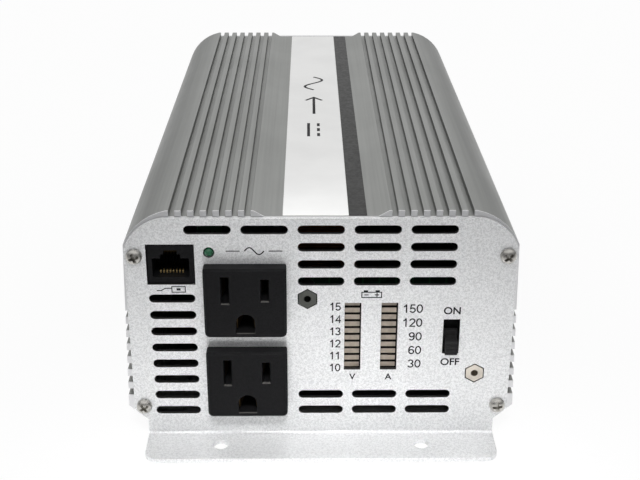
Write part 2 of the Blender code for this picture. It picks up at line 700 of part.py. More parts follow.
def remote_jack():
    """Modular socket: a moulded block with a stepped cavity, its latch slot at the top."""
    body = prism(rectangle(LEFT_X, JACK_Z, JACK_WIDTH, JACK_HEIGHT), "Y", JACK_FRONT, JACK_FRONT + JACK_DEPTH)
    low = JACK_Z - JACK_HEIGHT / 2 + JACK_FLOOR
    high = low + JACK_CAVITY_HEIGHT
    half = [(JACK_CAVITY_WIDTH / 2, low), (JACK_CAVITY_WIDTH / 2, high), (JACK_LATCH_WIDTH / 2, high),
            (JACK_LATCH_WIDTH / 2, high + JACK_LATCH_STEP), (JACK_LATCH_WIDTH / 3, high + JACK_LATCH_STEP),
            (JACK_LATCH_WIDTH / 3, high + 2 * JACK_LATCH_STEP)]
    cavity = prism([(LEFT_X + u, v) for u, v in mirrored(half)], "Y",
                   JACK_FRONT - FIT, JACK_FRONT + JACK_CAVITY_DEPTH)
    return cut(body, cavity)


def remote_jack_contacts():
    """Eight sprung wires that slope up from the front of the cavity to one carrier at its back."""
    floor = JACK_Z - JACK_HEIGHT / 2 + JACK_FLOOR
    back = JACK_FRONT + JACK_CAVITY_DEPTH - FIT
    front = JACK_FRONT + JACK_CAVITY_DEPTH * 0.22
    top = floor + JACK_CAVITY_HEIGHT * 0.62
    lift = JACK_WIRE * 1.2
    wire = [(back - lift, top), (front + lift, floor + FIT + lift), (front + 3 * lift, floor + FIT + lift),
            (front + 3 * lift, floor + FIT), (front, floor + FIT), (front, floor + FIT + 2 * lift),
            (back - lift, top + lift)]
    carrier_half = JACK_WAYS * JACK_WAY_PITCH / 2
    carrier = block((LEFT_X - carrier_half, back - 2 * lift, top - lift),
                    (LEFT_X + carrier_half, back, top + 2 * lift))
    wires = []
    for way in range(JACK_WAYS):
        x = LEFT_X + (way - (JACK_WAYS - 1) / 2) * JACK_WAY_PITCH
        wires.append(prism(wire, "X", x - JACK_WIRE / 2, x + JACK_WIRE / 2))
    return join(carrier, *wires)


def remote_board():
    """Small upright board that the jack and the status light are soldered to."""
    right = LED_X + 2 * LED_DIAMETER / 2
    return block((LEFT_X - JACK_WIDTH / 2, REMOTE_BOARD_Y, JACK_Z - JACK_HEIGHT / 2),
                 (right, REMOTE_BOARD_Y + BOARD_THICKNESS, JACK_Z + JACK_HEIGHT / 2))


def status_led():
    """Round light with a domed nose and a flange behind the panel, and its two leads."""
    radius = LED_DIAMETER / 2
    skirt = -SHEET - FIT
    dome = arc((0, LED_PROUD - radius), radius, 90, 0, 5)
    profile = dome + [(radius, skirt), (radius + 3 * FIT, skirt), (radius + 3 * FIT, skirt - LED_PROUD),
                      (0, skirt - LED_PROUD)]
    bulb = facing(revolve(profile, ROUND), -1, (LED_X, -OUTSIDE, LED_Z))
    start = -INSIDE + FIT + LED_PROUD / 2
    leads = [block((LED_X + side * radius / 2 - LED_LEAD / 2, start, LED_Z - LED_LEAD / 2),
                   (LED_X + side * radius / 2 + LED_LEAD / 2, REMOTE_BOARD_Y - FIT, LED_Z + LED_LEAD / 2))
             for side in (-1, 1)]
    return join(bulb, *leads)


def bar_display(x):
    """Ten-segment bar display, its segments parted by grooves."""
    face = -INSIDE + BAR_SETBACK
    back = DISPLAY_BOARD_Y - FIT
    low, high = CONTROL_Z - BAR_HEIGHT / 2, CONTROL_Z + BAR_HEIGHT / 2
    pitch = BAR_HEIGHT / BAR_SEGMENTS
    section = [(back, high), (back, low), (face, low)]
    for segment in range(1, BAR_SEGMENTS):
        z = low + segment * pitch
        section += [(face, z - BAR_GROOVE / 2), (face + BAR_GROOVE_DEPTH, z - BAR_GROOVE / 2),
                    (face + BAR_GROOVE_DEPTH, z + BAR_GROOVE / 2), (face, z + BAR_GROOVE / 2)]
    section.append((face, high))
    return prism(section, "X", x - BAR_WIDTH / 2, x + BAR_WIDTH / 2)


def slider_half_height():
    """Half height of the slider's skirt behind the panel."""
    return KNOB_HEIGHT / 2 + SLIDER_SKIRT


def power_switch_body():
    """Housing of the slide switch, with the track that its slider runs in."""
    front, back = -INSIDE + FIT, DISPLAY_BOARD_Y - FIT
    half_track = slider_half_height() + KNOB_TRAVEL / 2 + KNOB_STOP
    outline = rectangle(SWITCH_X, CONTROL_Z, SWITCH_WIDTH, 2 * (half_track + SWITCH_WALL))
    body = prism(outline, "Y", front, back)
    track = prism(rectangle(SWITCH_X, CONTROL_Z, SWITCH_WIDTH - 2 * SWITCH_WALL, 2 * half_track), "Y",
                  front - FIT, front + SLIDER_THICKNESS + 2 * FIT)
    return cut(body, track)


def power_switch_slider():
    """Slider with a ridged knob that stands through the panel's slot."""
    front = -INSIDE + 2 * FIT
    half_width = SWITCH_WIDTH / 2 - SWITCH_WALL - FIT
    half_skirt = slider_half_height()
    skirt = block((SWITCH_X - half_width, front, KNOB_Z - half_skirt),
                  (SWITCH_X + half_width, front + SLIDER_THICKNESS - FIT, KNOB_Z + half_skirt))
    tip = -OUTSIDE - KNOB_PROUD
    ridge = KNOB_HEIGHT / 8
    half = KNOB_HEIGHT / 2
    section = [(front + FIT, -half), (tip + ridge, -half), (tip, -half + ridge)]
    for groove in (-1, 0, 1):
        z = groove * 2 * ridge
        section += [(tip, z - ridge / 2), (tip + ridge / 2, z), (tip, z + ridge / 2)]
    section += [(tip, half - ridge), (tip + ridge, half), (front + FIT, half)]
    side = [(y, KNOB_Z + z) for y, z in section]
    knob = prism(side, "X", SWITCH_X - KNOB_WIDTH / 2, SWITCH_X + KNOB_WIDTH / 2)
    return join(skirt, knob)


def display_board():
    """Board behind the front panel that carries the bar displays and the switch."""
    half_x, half_z = STANDOFF_SPAN / 2 + BOARD_MARGIN, STANDOFF_RISE / 2 + BOARD_MARGIN
    board = block((DISPLAY_X - half_x, DISPLAY_BOARD_Y, CONTROL_Z - half_z),
                  (DISPLAY_X + half_x, DISPLAY_BOARD_Y + BOARD_THICKNESS, CONTROL_Z + half_z))
    holes = [prism(circle(x, z, BOARD_SCREW_SHANK + 2 * FIT, SMALL), "Y", DISPLAY_BOARD_Y - FIT,
                   DISPLAY_BOARD_Y + BOARD_THICKNESS + FIT) for x, z in standoff_places()]
    return cut(board, *holes)


def standoff(x, z):
    """Hex standoff whose head lies flush in the panel, with a bore right through."""
    end = -INSIDE + STANDOFF_LENGTH
    head = prism(hexagon(x, z, STANDOFF_HEX), "Y", -OUTSIDE, -INSIDE)
    barrel = prism(circle(x, z, STANDOFF_BARREL, ROUND), "Y", -INSIDE - SHEET / 2, end)
    bore = prism(circle(x, z, STANDOFF_BORE, SMALL), "Y", -OUTSIDE - FIT, end + FIT)
    return cut(join(head, barrel), bore)


def fan_frame():
    """Fan housing: two square flanges on a round duct, with a motor seat on struts at the inner side."""
    inner, outer = HALF_LENGTH - FAN_DEPTH, HALF_LENGTH
    square = rounded(0, FAN_Z, FAN_SIZE, FAN_SIZE, (FAN_CORNER,) * 4)
    duct = prism(circle(0, FAN_Z, FAN_SIZE - FIT, FINE), "Y", inner + FIT, outer - FIT)
    frame = join(duct, prism(square, "Y", inner, inner + FAN_FLANGE),
                 prism(square, "Y", outer - FAN_FLANGE, outer))
    holes = [prism(circle(x, z, FAN_HOLE, SMALL), "Y", inner - FIT, outer + FIT)
             for x, z in fan_screw_places()]
    frame = cut(frame, prism(circle(0, FAN_Z, FAN_BORE, FINE), "Y", inner - FIT, outer + FIT), *holes)
    seat = prism(circle(0, FAN_Z, FAN_HUB, ROUND), "Y", inner, inner + FAN_STRUT_DEPTH)
    reach = (FAN_BORE + FAN_SIZE) / 4
    for strut in range(FAN_STRUTS // 2):
        beam = block((-reach, inner, -FAN_STRUT / 2), (reach, inner + FAN_STRUT_DEPTH, FAN_STRUT / 2))
        turn = math.pi / 4 + strut * 2 * math.pi / FAN_STRUTS
        seat = join(seat, moved(beam, (0, 0, FAN_Z), turn, "Y"))
    bearing = prism(circle(0, FAN_Z, FAN_BEARING, ROUND), "Y", inner + FIT, inner + FAN_DEPTH / 2)
    bore = prism(circle(0, FAN_Z, FAN_SHAFT + 2 * FIT, SMALL), "Y", inner + FAN_STRUT_DEPTH / 2, outer)
    return cut(join(join(frame, seat), bearing), bore)


def fan_blade(index):
    """Twisted, cambered blade: sections that turn from the root's pitch to the tip's."""
    root = FAN_HUB / 2 - ROTOR_WALL / 2
    tip = FAN_BORE / 2 - BLADE_TIP_GAP
    half = BLADE_THICKNESS / 2
    section = [(-0.5, 0), (-0.2, BLADE_CAMBER * 0.8 + half), (0.2, BLADE_CAMBER * 0.8 + half), (0.5, 0),
               (0.2, BLADE_CAMBER * 0.8 - half), (-0.2, BLADE_CAMBER * 0.8 - half)]
    rings = []
    for station in range(BLADE_STATIONS):
        share = station / (BLADE_STATIONS - 1)
        radius = root + (tip - root) * share
        pitch = math.radians(BLADE_ROOT_PITCH + (BLADE_TIP_PITCH - BLADE_ROOT_PITCH) * share)
        ring = []
        for along, rise in section:
            axial = along * BLADE_CHORD * math.sin(pitch) + rise * math.cos(pitch)
            round_ = along * BLADE_CHORD * math.cos(pitch) - rise * math.sin(pitch)
            angle = 2 * math.pi * index / BLADES + round_ / radius
            ring.append((radius * math.cos(angle), rotor_y() + axial, FAN_Z + radius * math.sin(angle)))
        rings.append(ring)
    return loft(rings)


def rotor_y():
    """Middle of the rotor along the fan's axis."""
    return HALF_LENGTH - ROTOR_INSET - rotor_depth() / 2


def rotor_depth():
    """Depth of the rotor's cup between the motor seat and the panel."""
    return FAN_DEPTH - FAN_STRUT_DEPTH - ROTOR_INSET - ROTOR_GAP


def fan_rotor():
    """Rotor: a cup over the bearing, its shaft, and a ring of twisted blades."""
    half = rotor_depth() / 2
    radius, hollow, shaft = FAN_HUB / 2, FAN_HUB / 2 - ROTOR_WALL, FAN_SHAFT / 2
    shaft_end = -half - ROTOR_GAP - FAN_STRUT_DEPTH / 2 + FIT
    profile = [(0, half), (radius - ROTOR_WALL / 2, half), (radius, half - ROTOR_WALL / 2), (radius, -half),
               (hollow, -half), (hollow, half - ROTOR_WALL), (shaft, half - ROTOR_WALL), (shaft, shaft_end),
               (0, shaft_end)]
    hub = facing(revolve(profile, FINE), 1, (0, rotor_y(), FAN_Z))
    return join(hub, *[fan_blade(index) for index in range(BLADES)])


def fan_guard():
    """Wire finger guard: rings on two crossing pairs of spokes that end in eyes under the screws."""
    y = OUTSIDE + FIT + GUARD_WIRE / 2

    def wire_ring(x, z, diameter, steps):
        profile = [(diameter / 2 + u, v) for u, v in circle(0, 0, GUARD_WIRE, WIRE_SIDES)]
        return facing(revolve(profile, steps, closed=True), 1, (x, y, z))

    rings = [wire_ring(0, FAN_Z, 2 * GUARD_RING_PITCH * (i + 1), ROUND + 2 * i) for i in range(GUARD_RINGS)]
    eyes = [wire_ring(x, z, GUARD_EYE, SMALL) for x, z in fan_screw_places()]
    guard = rings[0]
    inner, outer = GUARD_RING_PITCH, FAN_HOLE_SPAN / math.sqrt(2) - GUARD_EYE / 2
    spokes = []
    for turn in range(4):
        rod = prism(circle(0, 0, GUARD_WIRE, WIRE_SIDES), "X", inner, outer)
        spokes.append(moved(rod, (0, y, FAN_Z), math.pi / 4 + turn * math.pi / 2, "Y"))
    guard = join(guard, *spokes)
    return join(guard, *rings[1:], *eyes)


def terminal_insulator(x):
    """Flanged bush that keeps a stud clear of the panel."""
    bore = TERMINAL_STUD / 2 + FIT
    top = FIT + TERMINAL_FLANGE_DEPTH
    flange, neck = TERMINAL_FLANGE / 2, TERMINAL_NECK / 2
    profile = [(bore, top), (flange * 0.8, top), (flange, top * 0.6), (flange, FIT), (neck, FIT),
               (neck, -SHEET - TERMINAL_NECK_DEPTH), (bore, -SHEET - TERMINAL_NECK_DEPTH)]
    return facing(revolve(profile, ROUND, closed=True), 1, (x, OUTSIDE, FAN_Z))


def terminal_post(x):
    """Brass stud with a collar behind the insulator and a tail for the input cable inside."""
    stud, collar = TERMINAL_STUD / 2, TERMINAL_COLLAR / 2
    seat = -SHEET - TERMINAL_NECK_DEPTH - FIT
    base = seat - TERMINAL_COLLAR_DEPTH
    profile = [(0, TERMINAL_REACH), (stud * 0.8, TERMINAL_REACH), (stud, TERMINAL_REACH - stud * 0.2),
               (stud, seat), (collar, seat), (collar, base), (stud, base), (stud, base - TERMINAL_TAIL),
               (0, base - TERMINAL_TAIL)]
    return facing(revolve(profile, ROUND), 1, (x, OUTSIDE, FAN_Z))


def terminal_nut(x):
    """Hex nut on the stud, against the insulator."""
    start = OUTSIDE + 2 * FIT + TERMINAL_FLANGE_DEPTH
    nut = prism(hexagon(x, FAN_Z, NUT_ACROSS), "Y", start, start + NUT_HEIGHT)
    bore = prism(circle(x, FAN_Z, TERMINAL_STUD + 2 * FIT, ROUND), "Y", start - FIT, start + NUT_HEIGHT + FIT)
    return cut(nut, bore)


def board_places(depths):
    """Middles along the main board of rows of the given depths, with equal gaps between them."""
    gap = (BOARD_REAR - BOARD_FRONT - sum(depths)) / (len(depths) + 1)
    places, y = [], BOARD_FRONT
    for depth in depths:
        places.append(y + gap + depth / 2)
        y += gap + depth
    return places


def transformer_core(y):
    """Ferrite core with two windows beside its middle leg."""
    low = MAIN_BOARD_TOP + FIT
    core = prism(rectangle(0, low + CORE_HEIGHT / 2, CORE_WIDTH, CORE_HEIGHT), "Y",
                 y - CORE_DEPTH / 2, y + CORE_DEPTH / 2)
    window = (CORE_WIDTH - 2 * CORE_YOKE - CORE_LEG) / 2
    windows = [prism(rectangle(side * (CORE_LEG + window) / 2, low + CORE_HEIGHT / 2, window,
                               CORE_HEIGHT - 2 * CORE_YOKE), "Y", y - CORE_DEPTH, y + CORE_DEPTH)
               for side in (-1, 1)]
    return cut(core, *windows)


def transformer_winding(y):
    """Wound coil round the middle leg."""
    low = MAIN_BOARD_TOP + FIT + CORE_YOKE + FIT
    high = low + CORE_HEIGHT - 2 * CORE_YOKE - 2 * FIT
    window = (CORE_WIDTH - 2 * CORE_YOKE - CORE_LEG) / 2
    width = CORE_LEG + 2 * (window - FIT)
    coil = prism(rounded(0, y, width, CORE_DEPTH + 2 * WINDING_DEPTH, (WINDING_ROUND,) * 4), "Z", low, high)
    hole = prism(rectangle(0, y, CORE_LEG + 2 * FIT, CORE_DEPTH + 2 * FIT), "Z", low - FIT, high + FIT)
    return cut(coil, hole)


def capacitor(x, y):
    """Can capacitor with a rolled groove above its base and a rounded rim."""
    radius, height = CAPACITOR_DIAMETER / 2, CAPACITOR_HEIGHT
    rim = radius * 0.1
    profile = [(0, height - rim / 2), (radius - 2 * rim, height - rim / 2), (radius - 2 * rim, height),
               (radius - rim, height), (radius, height - rim), (radius, 4 * rim), (radius - rim, 3 * rim),
               (radius, 2 * rim), (radius, 0), (0, 0)]
    return moved(revolve(profile, ROUND), (x, y, MAIN_BOARD_TOP + FIT))


def output_choke(y):
    """Ring choke that lies on the board."""
    profile = [(CHOKE_RING / 2 + u, v) for u, v in circle(0, 0, CHOKE_WIRE, 8)]
    return moved(revolve(profile, ROUND, closed=True), (0, y, MAIN_BOARD_TOP + FIT + CHOKE_WIRE / 2))


def transistor(side, y):
    """Power transistor flat against the side wall, its three leads down to the main board."""
    def x(depth):
        return side * (INNER_HALF - FIT - depth)

    low = MAIN_BOARD_TOP + FIT + TRANSISTOR_RISE
    waist, high = low + TRANSISTOR_HEIGHT * 0.75, low + TRANSISTOR_HEIGHT
    section = [(x(0), low), (x(TRANSISTOR_DEPTH), low), (x(TRANSISTOR_DEPTH), waist),
               (x(TRANSISTOR_TAB), waist), (x(TRANSISTOR_TAB), high), (x(0), high)]
    half = TRANSISTOR_WIDTH / 2
    body = prism(section, "Y", y - half, y + half)
    near, far = sorted((x(TRANSISTOR_DEPTH - FIT), x(TRANSISTOR_DEPTH - FIT - TRANSISTOR_LEAD)))
    leads = []
    for lead_y in (y - half / 1.5, y, y + half / 1.5):
        leads.append(block((near, lead_y - TRANSISTOR_LEAD / 2, MAIN_BOARD_TOP + FIT),
                           (far, lead_y + TRANSISTOR_LEAD / 2, low + TRANSISTOR_LEAD)))
    return join(body, *leads)


def transistor_clamp(side, y):
    """Bent bar that bridges two transistors and stands on the side wall at both ends."""
    def x(depth):
        return side * (INNER_HALF - FIT - depth)

    near = TRANSISTOR_DEPTH + FIT
    far = near + CLAMP_SHEET
    reach = TRANSISTOR_PITCH / 2 + TRANSISTOR_WIDTH / 2 + FIT
    right = [(far, reach + CLAMP_SHEET), (CLAMP_SHEET, reach + CLAMP_SHEET),
             (CLAMP_SHEET, reach + CLAMP_FOOT), (0, reach + CLAMP_FOOT), (0, reach), (near, reach)]
    outline = right + [(u, -v) for u, v in reversed(right)]
    low = MAIN_BOARD_TOP + FIT + TRANSISTOR_RISE + TRANSISTOR_HEIGHT * 0.15
    return prism([(x(u), y + v) for u, v in outline], "Z", low, low + CLAMP_HEIGHT)


def build_case(anodised, blasted, nickel):
    """Case, base plate, end panels and their screws."""
    add("case_extrusion", prism(case_outline(), "Y", -HALF_LENGTH, HALF_LENGTH), anodised)
    base_half = BASE_SLOT_X - FIT
    plate_low = (-base_half, -HALF_LENGTH, BASE_Z)
    plate_high = (base_half, HALF_LENGTH, BASE_Z + BASE_THICKNESS)
    add("base_plate", block(plate_low, plate_high), anodised)
    add("front_panel", front_panel(), blasted)
    add("rear_panel", rear_panel(), blasted)
    corners = [(sx * SCREW_X, z) for z in (SCREW_HIGH_Z, SCREW_LOW_Z) for sx in (-1, 1)]
    for end, direction in (("front", -1), ("rear", 1)):
        for number, (x, z) in enumerate(corners, 1):
            screw = pan_screw(PANEL_SCREW_HEAD, PANEL_SCREW_SHANK, PANEL_SCREW_LENGTH)
            place = (x, direction * (OUTSIDE + FIT), z)
            add(f"{end}_panel_screw_{number}", facing(screw, direction, place), nickel, place)


def build_outlets(plastic, brass):
    """Both outlets and their contacts."""
    for level, z in (("upper", UPPER_OUTLET_Z), ("lower", LOWER_OUTLET_Z)):
        add(f"outlet_{level}", outlet(z), plastic)
        for role, hole in zip(("neutral", "live", "ground"), outlet_holes(z)):
            add(f"outlet_{level}_{role}_contact", outlet_contact(*hole), brass)


def build_controls(plastic, gilt, green, laminate, segments, nickel, brass):
    """Jack, status light, meters, switch and the boards behind them."""
    add("remote_jack", remote_jack(), plastic)
    add("remote_jack_contacts", remote_jack_contacts(), gilt)
    add("remote_board", remote_board(), laminate)
    add("status_led", status_led(), green)
    add("volts_bar_display", bar_display(BAR_X), segments)
    add("amps_bar_display", bar_display(BAR_X + BAR_SPACING), segments)
    add("power_switch_body", power_switch_body(), plastic)
    add("power_switch_slider", power_switch_slider(), plastic, (SWITCH_X, -INSIDE, KNOB_Z))
    add("display_board", display_board(), laminate)
    screw_y = DISPLAY_BOARD_Y + BOARD_THICKNESS + FIT
    metals = (nickel, brass)
    for number, (side, (x, z)) in enumerate(zip(("left", "right"), standoff_places()), 1):
        add(f"display_standoff_{side}", standoff(x, z), metals[number - 1])
        screw = pan_screw(BOARD_SCREW_HEAD, BOARD_SCREW_SHANK, BOARD_SCREW_LENGTH)
        place = (x, screw_y, z)
        add(f"display_board_screw_{number}", facing(screw, 1, place), nickel, place)


def build_fan(plastic, nickel):
    """Fan, guard and their screws on the rear panel."""
    add("cooling_fan_frame", fan_frame(), plastic)
    add("cooling_fan_rotor", fan_rotor(), plastic, (0, rotor_y(), FAN_Z))
    add("fan_guard", fan_guard(), nickel)
    for number, (x, z) in enumerate(fan_screw_places(), 1):
        screw = pan_screw(FAN_SCREW_HEAD, FAN_SCREW_SHANK, FAN_SCREW_LENGTH)
        place = (x, OUTSIDE + GUARD_WIRE + 2 * FIT, z)
        add(f"fan_screw_{number}", facing(screw, 1, place), nickel, place)


def build_terminals(red, black, brass, nickel):
    """Direct-current input terminals on the rear panel."""
    for pole, x, bush in (("positive", -TERMINAL_X, red), ("negative", TERMINAL_X, black)):
        add(f"{pole}_terminal_insulator", terminal_insulator(x), bush)
        add(f"{pole}_terminal_post", terminal_post(x), brass)
        add(f"{pole}_terminal_nut", terminal_nut(x), nickel)


def build_power_stage(laminate, ferrite, copper, sleeve, black, nickel):
    """Main board with its transformers, capacitors, choke and clamped transistors."""
    half = INNER_HALF - FIT
    add("main_board", block((-half, BOARD_FRONT, MAIN_BOARD_Z), (half, BOARD_REAR, MAIN_BOARD_TOP)), laminate)
    coil = CORE_DEPTH + 2 * WINDING_DEPTH
    rows = board_places([CHOKE_RING + CHOKE_WIRE, coil, coil, CAPACITOR_DIAMETER])
    add("output_choke", output_choke(rows[0]), copper)
    for number, y in enumerate(rows[1:3], 1):
        add(f"transformer_{number}_core", transformer_core(y), ferrite)
        add(f"transformer_{number}_winding", transformer_winding(y), copper)
    for number, side in enumerate((-1, 1), 1):
        add(f"input_capacitor_{number}", capacitor(side * CAPACITOR_SPACING / 2, rows[3]), sleeve)
    middle = (BOARD_FRONT + BOARD_REAR) / 2
    for name, side, first in (("left", -1, 1), ("right", 1, 3)):
        add(f"transistor_clamp_{name}", transistor_clamp(side, middle), nickel)
        for i in range(2):
            y = middle + (i - 0.5) * TRANSISTOR_PITCH
            add(f"transistor_{first + i}", transistor(side, y), black)


def main():
    """Build the whole inverter."""
    clear_scene()
    black = finish("black moulding", (0.012, 0.012, 0.012), 0.35, 0.0)
    nickel = finish("nickelled steel", (0.62, 0.60, 0.55), 0.3, 1.0)
    brass = finish("brass", (0.75, 0.58, 0.30), 0.35, 1.0)
    laminate = finish("board laminate", (0.03, 0.16, 0.07), 0.5, 0.0)
    build_case(finish("anodised extrusion", (0.33, 0.34, 0.33), 0.4, 1.0),
               finish("bead-blasted sheet", (0.70, 0.70, 0.70), 0.45, 1.0), nickel)
    build_outlets(black, brass)
    build_controls(black, finish("gilt wire", (0.85, 0.65, 0.25), 0.3, 1.0),
                   finish("green lens", (0.03, 0.20, 0.10), 0.2, 0.0), laminate,
                   finish("meter segments", (0.42, 0.37, 0.32), 0.4, 0.0), nickel, brass)
    build_fan(black, nickel)
    red = finish("red moulding", (0.50, 0.02, 0.02), 0.4, 0.0)
    build_terminals(red, black, brass, nickel)
    build_power_stage(laminate, finish("ferrite", (0.05, 0.05, 0.055), 0.6, 0.0),
                      finish("enamelled copper", (0.45, 0.17, 0.06), 0.35, 1.0),
                      finish("capacitor sleeve", (0.02, 0.03, 0.08), 0.35, 0.0), black, nickel)


main()
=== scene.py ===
"""Looks of a power inverter: finishes, eased edges, screws, threads, legends and label on its solids."""
import math
from functools import cache

import bmesh
import bpy
import numpy as np
from mathutils import Matrix, Vector


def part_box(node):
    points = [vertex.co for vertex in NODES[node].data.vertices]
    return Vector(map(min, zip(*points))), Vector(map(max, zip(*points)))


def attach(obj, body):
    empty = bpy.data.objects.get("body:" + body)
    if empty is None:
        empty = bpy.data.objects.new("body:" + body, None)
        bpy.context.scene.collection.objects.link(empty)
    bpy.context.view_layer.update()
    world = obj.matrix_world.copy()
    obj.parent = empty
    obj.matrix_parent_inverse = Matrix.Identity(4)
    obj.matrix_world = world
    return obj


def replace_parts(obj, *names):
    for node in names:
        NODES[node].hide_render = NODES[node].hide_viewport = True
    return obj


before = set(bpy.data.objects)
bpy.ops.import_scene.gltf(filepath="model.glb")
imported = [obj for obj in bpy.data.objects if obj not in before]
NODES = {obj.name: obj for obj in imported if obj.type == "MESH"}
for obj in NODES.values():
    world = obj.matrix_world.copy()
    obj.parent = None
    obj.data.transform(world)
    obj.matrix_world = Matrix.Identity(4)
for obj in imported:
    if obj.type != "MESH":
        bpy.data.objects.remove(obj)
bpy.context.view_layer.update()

bl_info = {
    "name": "Power inverter looks",
    "version": (1, 0, 0),
    "blender": (4, 5, 0),
    "location": "3D View > Sidebar > Inverter",
    "description": "Dresses the solids of a power inverter with its finishes and small details",
    "category": "Object",
}

HOUSING = "housing"
WHITE = (1.0, 1.0, 1.0, 1.0)
TURN = 2 * np.pi
CASE_LOW, CASE_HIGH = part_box("case_extrusion")

# Faces that carry print: the standoffs' heads lie flush in the panel, and the recess is level with its top
PANEL_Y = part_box("display_standoff_left")[0].y
RECESS_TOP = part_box("front_panel")[1].z
PANEL_OUT, LABEL_OUT = Vector((0, -1, 0)), Vector((0, 0, 1))

# Corners that are merged on CAD nodes and on new pieces, and faces that count as flat
CAD_MERGE, PIECE_MERGE, FLAT_ANGLE = 1e-6, 1e-7, math.radians(0.5)
# Part of a normal along an axis from which its face is said to look that way
FACING = 0.5
# Field of a panel where each wall across the sheet was punched and gets painted shade: half width, lowest and
# highest
CUT_HALF, CUT_LOW, CUT_HIGH = 0.0560, 0.0065, 0.0780
# Lips that get a painted highlight, being lit from above: how far inside an outlet's outline they lie, and
# where below its face they start and end
LIP_MARGIN, LIP_START, LIP_DEPTH = 0.002, 0.0001, 0.00072
# Bare metal at the case's sawn ends
SAWN_DEPTH = 0.00025
# Screw heads: diameters, rise as a share of the diameter, and how far each recess is turned, in radians
PANEL_SCREW_HEAD, FAN_SCREW_HEAD, HEAD_RISE = 0.0052, 0.0070, 0.36
PANEL_SCREW_TURNS, FAN_SCREW_TURNS = (0.35, 0.72, 0.60, 0.15), (0.1, 0.5, 0.9, 0.3)
# Threads: radii at root and crest, and the gap to the nut and to the stud's end
THREAD_ROOT, THREAD_CREST, THREAD_GAP = 0.00401, 0.00428, 0.0001
# Label: distance from the case's ends, corner radius and gap to the recess
LABEL_INSET, LABEL_CORNER, LABEL_GAP = 0.0006, 0.0004, 0.00002
# Ink: share of its height that is solid
INK_SHARE = 0.8
# Digits that are 1 high: width, step to the next and width of the stroke; and how much letters are thickened
DIGIT_WIDTH, DIGIT_STEP, DIGIT_STROKE, LETTER_WEIGHT = 0.56, 0.60, 0.148, 0.022
# Units under the meters and words at the switch
UNIT_HEIGHT, UNIT_Z, WORD_HEIGHT = 0.0023, 0.0235, 0.0027
# Bar displays: segments and depth of their faces
SEGMENTS, SEGMENT_DEPTH = 10, 0.0003
# From a segment's middle to where its groove, in heights of a segment, and the painted shadow at its right
# are dark and clear
GROOVE_DARK, GROOVE_CLEAR, RIGHT_SHADOW_DARK, RIGHT_SHADOW_CLEAR = 0.36, 0.31, 0.00240, 0.00225
# Gilt wires: height above their lowest point from which they get painted shade, and below which they show
# bright gold
WIRE_SHADE_HEIGHT, WIRE_LIT_HEIGHT = 0.0016, 0.0008
# Floor: half size, level, where metal sees it grey and white in front of the object, and share of own light
FLOOR_HALF, FLOOR_Z, FLOOR_FAR, FLOOR_NEAR, FLOOR_GLOW = 6.0, -0.0002, -0.30, -0.16, 0.93
# Room light: how much it rises to both sides, to the back and upwards
SKY_SIDE, SKY_BACK, SKY_ABOVE = -0.6, 0.25, 1.6


def colour_of(name, description, default):
    """Colour that a user can change."""
    return bpy.props.FloatVectorProperty(
        name=name, description=description, subtype="COLOR", size=3, default=default)


def length_of(name, description, default):
    """Length that a user can change."""
    return bpy.props.FloatProperty(name=name, description=description, unit="LENGTH", default=default)


def way_of(name, description, default):
    """Direction that a user can change."""
    return bpy.props.FloatVectorProperty(
        name=name, description=description, subtype="DIRECTION", size=3, default=default)


def power_of(name, description, default):
    """Power of a lamp that a user can change."""
    return bpy.props.FloatProperty(name=name, description=description, subtype="POWER", default=default)


class InverterFinishes(bpy.types.PropertyGroup):
    """Colours of the surfaces."""

    case_grey: colour_of("Case grey", "Anodised extrusion", (0.285, 0.29, 0.28))
    cut_grey: colour_of("Sawn ends", "Bare metal at the ends of the ribs", (0.78, 0.78, 0.79))
    panel_silver: colour_of("Panel silver", "Blasted sheet", (0.80, 0.805, 0.81))
    panel_fleck: colour_of("Panel fleck", "Dark grains of the blasted sheet", (0.60, 0.605, 0.61))
    # Painted shade: the walls punched in the panels lie in shade, so they get this dark colour
    punched_dark: colour_of("Punched edge", "Dull walls punched in the panels", (0.035, 0.035, 0.035))
    moulding_black: colour_of("Moulding black", "Outlets, jack and switch", (0.0055, 0.0055, 0.006))
    knob_black: colour_of("Knob black", "Plastic of the switch knob", (0.014, 0.014, 0.0145))
    fan_charcoal: colour_of("Fan charcoal", "Plastic of the fan's duct and rotor", (0.040, 0.040, 0.042))
    # Painted highlight on the upward lips in the outlets' slots, where light from above falls
    rubbed_grey: colour_of("Rubbed lip", "Outlet plastic where plugs rub it", (0.07, 0.068, 0.065))
    nickel: colour_of("Nickel", "Screws, guard and nuts", (0.60, 0.585, 0.55))
    lens_green: colour_of("Lens green", "Unlit status light", (0.005, 0.060, 0.026))
    segment_taupe: colour_of("Segment taupe", "Unlit bar segments", (0.32, 0.275, 0.23))
    label_white: colour_of("Label white", "Wide strip of the label", (0.92, 0.92, 0.91))
    label_dark: colour_of("Label dark", "Narrow strip of the label", (0.016, 0.016, 0.015))
    ink: colour_of("Ink", "Printed legends", (0.016, 0.016, 0.018))


class InverterSizes(bpy.types.PropertyGroup):
    """Sizes of the details."""

    case_edge: length_of("Case edge", "Rounding of the extrusion's edges", 0.00018)
    sheet_edge: length_of("Sheet edge", "Rounding of the stamped edges", 0.00016)
    moulding_edge: length_of("Moulding edge", "Rounding of the moulded edges", 0.0003)
    guard_pitch: length_of("Guard pitch", "From ring to ring of the finger guard", 0.0080)
    guard_eye: length_of("Guard eye", "Eye under each fan screw, across the wire's middle", 0.0066)
    label_left: length_of("Label left", "Left edge of the label", -0.0123)
    label_split: length_of("Label split", "Where the label turns dark", 0.00865)
    label_right: length_of("Label right", "Right edge of the label", 0.01445)
    label_film: length_of("Label film", "Thickness of the label", 0.00012)
    ink_film: length_of("Ink film", "Height of the printed ink", 0.00003)
    thread_pitch: length_of("Thread pitch", "Pitch of the terminal studs", 0.00125)


